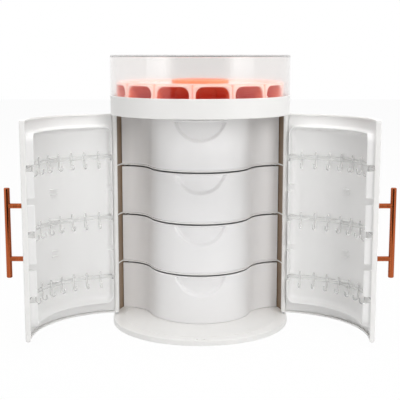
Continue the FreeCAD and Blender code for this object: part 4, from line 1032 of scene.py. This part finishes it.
def make_camera():
    data = bpy.data.cameras.new("photo_camera")
    data.sensor_width = SENSOR_WIDTH
    data.lens = FOCAL_LENGTH
    camera = bpy.data.objects.new("photo_camera", data)
    camera.location = CAMERA_PLACE
    camera.rotation_euler = (math.radians(90 - CAMERA_PITCH), 0, 0)
    bpy.context.scene.collection.objects.link(camera)
    bpy.context.scene.camera = camera


def seen_directly(tree):
    """1 for rays that show the background to the camera, to glossy surfaces or through clear plastic."""
    path = add(tree, "ShaderNodeLightPath")
    seen = add(tree, "ShaderNodeMath", {"operation": "MAXIMUM"},
               {0: (path, "Is Camera Ray"), 1: (path, "Is Glossy Ray")})
    return add(tree, "ShaderNodeMath", {"operation": "MAXIMUM"},
               {0: (seen, "Value"), 1: (path, "Is Transmission Ray")})


def make_floor():
    """A pale sweep. What the camera, metal and clear plastic see of it is close to pure white,
    and it still takes the cabinet's shadow."""
    mesh = bpy.data.meshes.new("studio_floor")
    corners = [(-FLOOR_REACH, -FLOOR_REACH, 0), (FLOOR_REACH, -FLOOR_REACH, 0),
               (FLOOR_REACH, FLOOR_REACH, 0), (-FLOOR_REACH, FLOOR_REACH, 0)]
    mesh.from_pydata(corners, [], [(0, 1, 2, 3)])
    floor = bpy.data.objects.new("studio_floor", mesh)
    bpy.context.scene.collection.objects.link(floor)
    material, tree = blank("studio_paper")
    paper = add(tree, "ShaderNodeBsdfDiffuse", {"Color": linear(FLOOR_PAPER)})
    white = add(tree, "ShaderNodeEmission", {"Strength": 1.0})
    share = add(tree, "ShaderNodeMath", {"operation": "MULTIPLY", 1: FLOOR_SEEN_SHARE},
                {0: (seen_directly(tree), "Value")})
    both = add(tree, "ShaderNodeMixShader", None,
               {0: (share, "Value"), 1: (paper, "BSDF"), 2: (white, "Emission")})
    add(tree, "ShaderNodeOutputMaterial", None, {"Surface": (both, "Shader")})
    mesh.materials.append(material)


def make_dark_cloths():
    """The dim side of the studio. It draws the dark streaks down the polished bars and keeps the
    clear cover free of glare."""
    for name, ((near_width, near_y, near_z), (far_width, far_y, far_z)), seen_through in DARK_CLOTHS:
        material, tree = blank(name)
        cloth = add(tree, "ShaderNodeEmission", {"Color": linear(DARK_CLOTH_SHADE)})
        if not seen_through:
            gone = add(tree, "ShaderNodeBsdfTransparent")
            path = add(tree, "ShaderNodeLightPath")
            cloth = add(tree, "ShaderNodeMixShader", None,
                        {0: (path, "Is Transmission Ray"), 1: (cloth, "Emission"), 2: (gone, "BSDF")})
        add(tree, "ShaderNodeOutputMaterial", None, {"Surface": (cloth, 0)})
        mesh = bpy.data.meshes.new(name)
        mesh.from_pydata([(-near_width / 2, near_y, near_z), (near_width / 2, near_y, near_z),
                          (far_width / 2, far_y, far_z), (-far_width / 2, far_y, far_z)], [], [(0, 1, 2, 3)])
        mesh.materials.append(material)
        sheet = bpy.data.objects.new(name, mesh)
        bpy.context.scene.collection.objects.link(sheet)
        for kind in ("camera", "diffuse", "volume_scatter", "shadow"):
            setattr(sheet, "visible_" + kind, False)


def make_light():
    """Soft boxes round the cabinet in a white surround."""
    for name, place, aim, size, power, lights in SOFTBOXES:
        data = bpy.data.lights.new(name, "AREA")
        data.shape = "RECTANGLE"
        data.size, data.size_y = size
        data.energy = power
        lamp = bpy.data.objects.new(name, data)
        lamp.location = place
        lamp.visible_diffuse = lights
        lamp.visible_glossy = not lights
        lamp.visible_transmission = not lights
        lamp.rotation_euler = (Vector(aim) - Vector(place)).to_track_quat("-Z", "Y").to_euler()
        bpy.context.scene.collection.objects.link(lamp)
    world = bpy.data.worlds.new("studio")
    world.use_nodes = True
    tree = world.node_tree
    tree.nodes.clear()
    pure = (1.0, 1.0, 1.0, 1.0)
    fill = add(tree, "ShaderNodeBackground", {"Color": pure, "Strength": FILL_STRENGTH})
    white = add(tree, "ShaderNodeBackground", {"Color": pure})
    mix = add(tree, "ShaderNodeMixShader", None,
              {0: (seen_directly(tree), "Value"), 1: (fill, "Background"), 2: (white, "Background")})
    add(tree, "ShaderNodeOutputWorld", None, {"Surface": (mix, "Shader")})
    bpy.context.scene.world = world
    bpy.context.scene.view_settings.view_transform = "Standard"


make_camera()
make_floor()
make_dark_cloths()
make_light()
